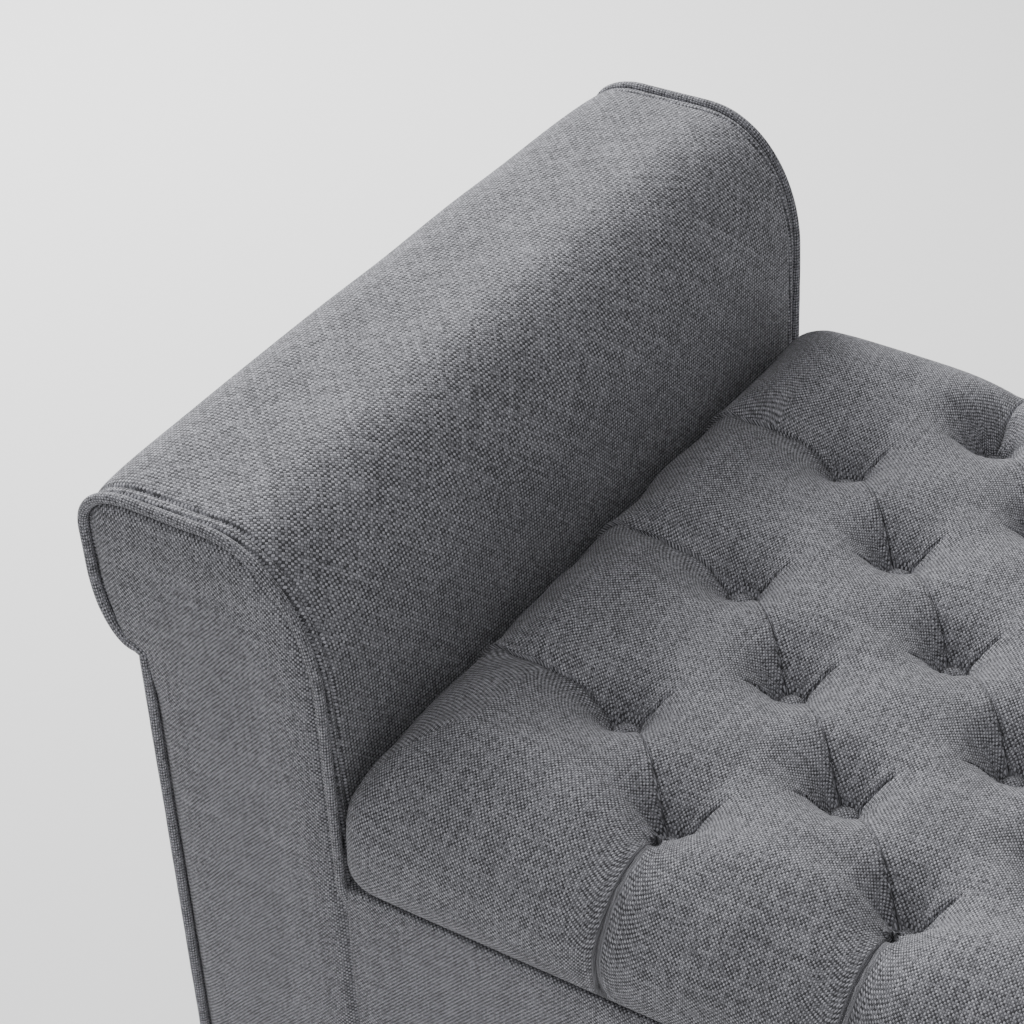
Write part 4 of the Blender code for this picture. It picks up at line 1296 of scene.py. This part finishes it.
def facing_outline():
    """A facing's closed outline: inside the cord, but out to the front panel below the box rim."""
    section = arm_section(BASE_BOTTOM, 0.0030)
    arm = bpy.context.scene.bench_arm
    inset = 0.0006 + 0.0016 * smoothstep(section[:, 1], 0.338, 0.352) + arm.sink * roll_share(section)
    line = section - section_normals(section) * inset[:, None]
    crease = line[-1]
    outer = ARM_THICK - 0.0022 - arm.sink
    line = line[line[:, 1] > BASE_BOTTOM + 0.001]
    down = np.linspace(crease[1] - 0.0035, BASE_BOTTOM + 0.002, 110)
    side = np.stack([np.full(len(down), outer), down], 1)
    corner_out = [(outer - 0.0006, BASE_BOTTOM + 0.0006), (outer - 0.002, BASE_BOTTOM)]
    across = np.linspace(outer - 0.004, line[0, 0] + 0.004, 36)
    floor = np.stack([across, np.full(len(across), BASE_BOTTOM)], 1)
    corner_in = [(line[0, 0] + 0.002, BASE_BOTTOM), (line[0, 0] + 0.0006, BASE_BOTTOM + 0.0006)]
    return np.concatenate([line, side, corner_out, floor, corner_in])


def make_facing(side, name, end, direction):
    arm = bpy.context.scene.bench_arm
    outline = facing_outline()
    normal = section_normals(outline, True)
    steps = [(0.0, 0.0003)] + [(inset, part * arm.facing_pad) for inset, part in FACING_STEPS]
    crease = np.hypot(outline[:, 0] - ARM_THICK, outline[:, 1] - UNDERCUT[0][1] + UNDERCUT[1][1])
    room = smoothstep(outline[:, 1], BASE_BOTTOM, BASE_BOTTOM + 0.045)
    room = room * (0.2 + 0.8 * smoothstep(crease, 0.004, 0.040))
    points, cloth_map = [], []
    for inset, rise in steps:
        ring = outline - normal * (inset * room)[:, None]
        wave = 0.00022 * ripples(ring[:, 0], ring[:, 1], 31 + side, 0.07) * min(inset / 0.008, 1.0)
        y = direction * (ARM_END + rise + wave)
        points.append(np.stack([side * (ARM_INNER + ring[:, 0]), y, ring[:, 1]], 1))
        cloth_map.append(np.stack([ring[:, 0], ring[:, 1] + 0.3 * rise], 1))
    count = len(outline)
    points = np.concatenate(points)
    cloth_map = np.concatenate(cloth_map)
    quads = grid_faces(len(steps), count, True)
    last = (len(steps) - 1) * count + np.arange(count)
    first = np.arange(count)[::-1]
    groups = mapped(cloth_map, quads, last[None], first[None])
    cloth = woven_cloth("upholstery_cloth")
    piece = closed_piece(f"{name}_arm_{end}_padded_facing", points, groups, cloth, "root")
    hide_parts(f"{name}_arm_{end}_facing")


def make_piping(side, name, end, direction):
    """A welt cord round the facing, tucked behind the box's panel below its rim."""
    arm = bpy.context.scene.bench_arm
    section = arm_section(BASE_BOTTOM + 0.003, 0.0024)
    section = section - section_normals(section) * (arm.sink * roll_share(section))[:, None]
    down = np.linspace(section[-1, 1] - 0.0024, BASE_BOTTOM + 0.003, 160)
    outer = np.full(len(down), ARM_THICK - arm.sink)
    line = np.concatenate([section, np.stack([outer, down], 1)])
    hidden = (line[:, 0] < 0.004) * (1.0 - smoothstep(line[:, 1], 0.330, 0.352))
    y = direction * (CORD_Y - 0.0052 * hidden)
    path = np.stack([side * (ARM_INNER + line[:, 0]), y, line[:, 1]], 1)
    tangent = np.gradient(path, axis=0)
    tangent /= np.linalg.norm(tangent, axis=1)[:, None]
    out = np.cross(tangent, np.array([0.0, 1.0, 0.0]))
    out /= np.linalg.norm(out, axis=1)[:, None]
    face = np.cross(out, tangent)
    sides = 14
    turn = np.arange(sides) * 2.0 * math.pi / sides
    radius = arm.cord_radius * (1.0 + 0.03 * ripples(arc_lengths(path), 0.0, 40 + side, 0.03))
    ring = out[:, None] * np.cos(turn)[None, :, None] + face[:, None] * np.sin(turn)[None, :, None]
    points = (path[:, None] + ring * radius[:, None, None]).reshape(-1, 3)
    along = arc_lengths(path)
    quads = grid_faces(len(path), sides, True)
    round_map = np.arange(sides + 1) * 2.0 * math.pi * arm.cord_radius / sides
    row = quads[:, 0] // sides
    column = quads[:, 0] % sides
    corners = []
    for step_row, step_column in ((0, 0), (0, 1), (1, 1), (1, 0)):
        s, t = along[row + step_row], round_map[column + step_column]
        corners.append(np.stack([s * CORD_TWIST + t, t - s * CORD_TWIST], 1))
    ends = [np.arange(sides), (len(path) - 1) * sides + np.arange(sides)]
    groups = [(quads, np.stack(corners, 1))]
    groups.append((ends[0][::-1][None], np.zeros((1, sides, 2))))
    groups.append((ends[1][None], np.zeros((1, sides, 2))))
    cloth = woven_cloth("welt_cord_cloth", 1.04, 0.0013)
    piece = closed_piece(f"{name}_arm_{end}_welt_cord", points, groups, cloth, "root")
    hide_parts(f"{name}_arm_{end}_piping")


# ---------------------------------------------------------------- flat covers


def edged_places(low, high, spacing, edge):
    """Places from low to high, close together within an edge's width of both."""
    near = edge * np.array([0.0, 0.05, 0.15, 0.30, 0.55, 0.80])
    middle = np.linspace(low + edge, high - edge, max(3, round((high - low) / spacing)))
    return np.concatenate([low + near, middle, (high - near)[::-1]])


def padded_panel(name, node, across, up, out, low, high, back, face, edge, pad, seed):
    """Cloth over thin padding on a board: a closed slab, rounded at its edges and barely crowned.

    across, up and out are the axes' unit vectors; low and high are the corners on across and up.
    """
    a = edged_places(low[0], high[0], PANEL_SPACING, edge)
    b = edged_places(low[1], high[1], PANEL_SPACING, edge)
    x, y = np.meshgrid(a, b)
    inset = np.minimum(*edge_distances(x, y, low, high))
    fall = rounded_fall(inset, edge)
    crown = pad * (1.0 - np.exp(-np.maximum(inset - edge, 0.0) / 0.020))
    wave = 0.00035 * ripples(x, y, seed, 0.13) * (1.0 - np.exp(-inset / 0.015))
    height = np.maximum(face - fall + crown + wave, back + 0.0006)
    axes = np.array([across, up, out], float)
    outer = np.stack([x, y, height], -1).reshape(-1, 3) @ axes
    rows, columns = x.shape
    loop = border(rows, columns)
    flat = np.stack([x, y, np.full(x.shape, back)], -1).reshape(-1, 3)[loop] @ axes
    points = np.concatenate([outer, flat])
    size, ring = rows * columns, np.arange(len(loop))
    following = np.roll(ring, -1)
    wall = np.stack([loop, np.roll(loop, -1), size + following, size + ring], 1)
    quads = np.concatenate([grid_faces(rows, columns), wall[:, ::-1]])
    cloth_map = np.stack([x.ravel(), y.ravel()], 1)
    cloth_map = np.concatenate([cloth_map, cloth_map[loop]])
    under = (size + ring)[::-1]
    groups = mapped(cloth_map, quads, under[None])
    piece = closed_piece(name, points, groups, woven_cloth("upholstery_cloth"), "root")
    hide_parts(node)


def make_front_cover():
    """The front panel's cloth, carried up its face and folded back over the box's rim."""
    low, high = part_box("front_cover")
    half = ARM_INNER - PANEL_GAP
    face, top, bottom = low.y, high.z, low.z
    wall = -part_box("front_panel")[0].y
    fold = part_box("front_panel")[0].y + 0.0100
    corner = 0.0024
    line = [(-wall - 0.0004, bottom), (face + 0.0012, bottom)]
    line += [(face + 0.0003, bottom + 0.0005), (face, bottom + 0.0018)]
    heights = np.linspace(bottom + 0.006, top - corner, 34)
    line += [(face - 0.0008 * math.sin(math.pi * (h - bottom) / (top - bottom)) ** 0.5, h) for h in heights]
    for angle in np.linspace(0.0, math.pi / 2, 6)[1:]:
        line.append((face + corner - corner * math.cos(angle), top - corner + corner * math.sin(angle)))
    line += [(face + 0.006, top), (fold - 0.0006, top), (fold, top - 0.0003)]
    line += [(out, BOX_RIM + 0.0003) for out in (fold, face + 0.0080, -wall - 0.0004)]
    line = np.array(line)
    xs = edged_places(-half, half, PANEL_SPACING, PANEL_EDGE)
    fall = rounded_fall(half - np.abs(xs), PANEL_EDGE)
    x, index = np.meshgrid(xs, np.arange(len(line)), indexing="ij")
    y = line[:, 0][index]
    z = line[:, 1][index]
    outer = (y < -wall - 0.002).astype(float)
    wave = 0.0003 * ripples(x, z, 61, 0.14) * smoothstep(half - np.abs(x), 0.0, 0.02) * outer
    wave = wave * smoothstep(top - z, 0.0, 0.01)
    y = y + fall[:, None] * outer + wave
    z = z - 0.4 * fall[:, None] * (z > top - 0.0005)
    points = np.stack([x, y, z], -1).reshape(-1, 3)
    rows, columns = x.shape
    along = arc_lengths(line)
    cloth_map = np.stack([x.ravel(), np.broadcast_to(along, x.shape).ravel()], 1)
    quads = grid_faces(rows, columns, True)
    first, last = np.arange(columns), (rows - 1) * columns + np.arange(columns)
    groups = mapped(cloth_map, quads, first[::-1][None], last[None])
    piece = closed_piece("front_padded_cover", points, groups, woven_cloth("upholstery_cloth"), "root")
    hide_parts("front_cover")


def make_other_covers():
    low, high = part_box("back_cover")
    half = ARM_INNER - PANEL_GAP
    padded_panel(
        "back_padded_cover", "back_cover", (-1, 0, 0), (0, 0, 1), (0, 1, 0),
        (-half, low.z), (half, high.z), low.y, high.y - 0.0004, PANEL_EDGE, 0.0006, 71,
    )
    for side, name in SIDES:
        low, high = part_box(f"{name}_arm_outer_cover")
        near, far = sorted((abs(low.x), abs(high.x)))
        padded_panel(
            f"{name}_arm_outer_padded_cover", f"{name}_arm_outer_cover", (0, 1, 0), (0, 0, 1), (side, 0, 0),
            (low.y, low.z), (high.y, high.z), near - 0.0040, far - 0.0030, 0.0030, 0.0012, 80 + side,
        )


# ---------------------------------------------------------------- finishes on the frame


def refinish(names, material):
    for name in names:
        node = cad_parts[name]
        for place in node.material_slots:
            place.material = material


def nodes_with(*words):
    return [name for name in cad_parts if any(word in name for word in words)]


# ---------------------------------------------------------------- stage


def area_light(name, place, target, power, wide, deep):
    data = bpy.data.lights.new(name, "AREA")
    data.energy = power
    data.shape = "RECTANGLE"
    data.size = wide
    data.size_y = deep
    light = bpy.data.objects.new(name, data)
    bpy.context.scene.collection.objects.link(light)
    light.location = place
    light.rotation_euler = (Vector(target) - Vector(place)).to_track_quat("-Z", "Y").to_euler()


def make_camera(stage):
    yaw, pitch, roll = stage.yaw, stage.pitch, stage.roll
    ahead = Vector((-math.sin(yaw) * math.cos(pitch), math.cos(yaw) * math.cos(pitch), -math.sin(pitch)))
    right = Vector((math.cos(yaw), math.sin(yaw), 0.0))
    up = right.cross(ahead)
    turned_right = math.cos(roll) * right + math.sin(roll) * up
    turned_up = math.cos(roll) * up - math.sin(roll) * right
    data = bpy.data.cameras.new("main_camera")
    data.lens = stage.lens
    data.sensor_width = 36.0
    data.clip_start = 0.05
    data.clip_end = 50.0
    camera = bpy.data.objects.new("main_camera", data)
    bpy.context.scene.collection.objects.link(camera)
    turn = Matrix((turned_right, turned_up, -ahead)).transposed().to_4x4()
    camera.matrix_world = Matrix.Translation(stage.place) @ turn
    bpy.context.scene.camera = camera


def make_floor(stage):
    n = Nodes("pale_floor")
    place = n.add("ShaderNodeTexCoord").outputs["Object"]
    speck = n.noise(place, 60.0, 4.0, 0.6)
    n.base_colour(n.shades(speck, stage.floor, 0.985, 1.0))
    n.set(Roughness=0.85, Specular_IOR_Level=0.2)
    mesh = bpy.data.meshes.new("floor")
    corners = [(x * FLOOR_REACH, y * FLOOR_REACH, 0.0) for x, y in ((-1, -1), (1, -1), (1, 1), (-1, 1))]
    mesh.from_pydata(corners, [], [(0, 1, 2, 3)])
    mesh.materials.append(n.material)
    floor = bpy.data.objects.new("floor", mesh)
    bpy.context.scene.collection.objects.link(floor)


def make_world(stage):
    world = bpy.data.worlds.new("studio")
    world.use_nodes = True
    background = world.node_tree.nodes["Background"]
    background.inputs["Color"].default_value = (1.0, 1.0, 1.0, 1.0)
    background.inputs["Strength"].default_value = stage.sky
    bpy.context.scene.world = world


# ---------------------------------------------------------------- operators


class BENCH_OT_stage(bpy.types.Operator):
    """Set up the camera, the floor and the soft studio lights"""

    bl_idname = "bench.stage"
    bl_label = "Studio stage"

    def execute(self, context):
        stage = context.scene.bench_stage
        make_camera(stage)
        make_floor(stage)
        make_world(stage)
        area_light("key_light", (-2.2, 1.0, 1.75), (0.0, 0.0, 0.4), stage.key, 1.5, 1.5)
        area_light("front_light", (0.3, -1.7, 2.8), (0.0, 0.0, 0.3), stage.front, 2.0, 1.4)
        return {"FINISHED"}


class BENCH_OT_lid_cover(bpy.types.Operator):
    """Upholster the lid with its button-tufted, pleated cover"""

    bl_idname = "bench.lid_cover"
    bl_label = "Tufted lid cover"

    def execute(self, context):
        make_lid_cover()
        return {"FINISHED"}


class BENCH_OT_buttons(bpy.types.Operator):
    """Make the covered buttons, row by row"""

    bl_idname = "bench.buttons"
    bl_label = "Covered buttons"

    def execute(self, context):
        make_buttons()
        return {"FINISHED"}


class BENCH_OT_linings(bpy.types.Operator):
    """Stretch the lid lining and the dust cover"""

    bl_idname = "bench.linings"
    bl_label = "Lining and dust cover"

    def execute(self, context):
        make_linings()
        return {"FINISHED"}


class BENCH_OT_arm_covers(bpy.types.Operator):
    """Pad and cover both rolled arms"""

    bl_idname = "bench.arm_covers"
    bl_label = "Arm covers"

    def execute(self, context):
        for side, name in SIDES:
            make_arm_cover(side, name)
        return {"FINISHED"}


class BENCH_OT_facings(bpy.types.Operator):
    """Make the padded facings at the ends of the arms"""

    bl_idname = "bench.facings"
    bl_label = "Arm facings"

    def execute(self, context):
        for side, name in SIDES:
            make_facing(side, name, "front", -1)
            make_facing(side, name, "back", 1)
        return {"FINISHED"}


class BENCH_OT_piping(bpy.types.Operator):
    """Run the welt cords round the facings"""

    bl_idname = "bench.piping"
    bl_label = "Welt cords"

    def execute(self, context):
        for side, name in SIDES:
            make_piping(side, name, "front", -1)
            make_piping(side, name, "back", 1)
        return {"FINISHED"}


class BENCH_OT_flat_covers(bpy.types.Operator):
    """Cover the front, the back and the outer faces of the arms"""

    bl_idname = "bench.flat_covers"
    bl_label = "Flat covers"

    def execute(self, context):
        make_front_cover()
        make_other_covers()
        return {"FINISHED"}


class BENCH_OT_carcass(bpy.types.Operator):
    """Finish the plywood, the hardboard and the stained feet"""

    bl_idname = "bench.carcass"
    bl_label = "Wooden carcass"

    def execute(self, context):
        refinish(nodes_with("_panel", "_board", "corner_block"), plywood_finish("birch_plywood"))
        refinish(nodes_with("roll_form"), hardboard_finish("bent_hardboard"))
        refinish(nodes_with("foot_"), foot_finish("stained_foot_wood"))
        return {"FINISHED"}


class BENCH_OT_fittings(bpy.types.Operator):
    """Finish the steel hinges and lid stays"""

    bl_idname = "bench.fittings"
    bl_label = "Hinges and stays"

    def execute(self, context):
        refinish(nodes_with("hinge_", "_stay_"), steel_finish("zinc_plated_steel_brushed"))
        return {"FINISHED"}


OPERATORS = (
    BENCH_OT_stage,
    BENCH_OT_lid_cover,
    BENCH_OT_buttons,
    BENCH_OT_linings,
    BENCH_OT_arm_covers,
    BENCH_OT_facings,
    BENCH_OT_piping,
    BENCH_OT_flat_covers,
    BENCH_OT_carcass,
    BENCH_OT_fittings,
)


class BENCH_PT_panel(bpy.types.Panel):
    """Lists the bench's pieces in the order in which they are made"""

    bl_idname = "BENCH_PT_panel"
    bl_label = "Storage Bench"
    bl_space_type = "VIEW_3D"
    bl_region_type = "UI"
    bl_category = "Bench"

    def draw(self, context):
        for operator in OPERATORS:
            self.layout.operator(operator.bl_idname)


SETTINGS = (
    ("bench_fabric", BenchFabricSettings),
    ("bench_lid", BenchLidSettings),
    ("bench_arm", BenchArmSettings),
    ("bench_trim", BenchTrimSettings),
    ("bench_stage", BenchStageSettings),
)


def register():
    for name, group in SETTINGS:
        bpy.utils.register_class(group)
        setattr(bpy.types.Scene, name, PointerProperty(type=group))
    for operator in OPERATORS:
        bpy.utils.register_class(operator)
    bpy.utils.register_class(BENCH_PT_panel)


def unregister():
    bpy.utils.unregister_class(BENCH_PT_panel)
    for operator in reversed(OPERATORS):
        bpy.utils.unregister_class(operator)
    for name, group in reversed(SETTINGS):
        delattr(bpy.types.Scene, name)
        bpy.utils.unregister_class(group)


def main():
    register()
    bpy.ops.bench.stage()
    bpy.ops.bench.lid_cover()
    bpy.ops.bench.buttons()
    bpy.ops.bench.linings()
    bpy.ops.bench.arm_covers()
    bpy.ops.bench.facings()
    bpy.ops.bench.piping()
    bpy.ops.bench.flat_covers()
    bpy.ops.bench.carcass()
    bpy.ops.bench.fittings()


if __name__ == "__main__":
    main()
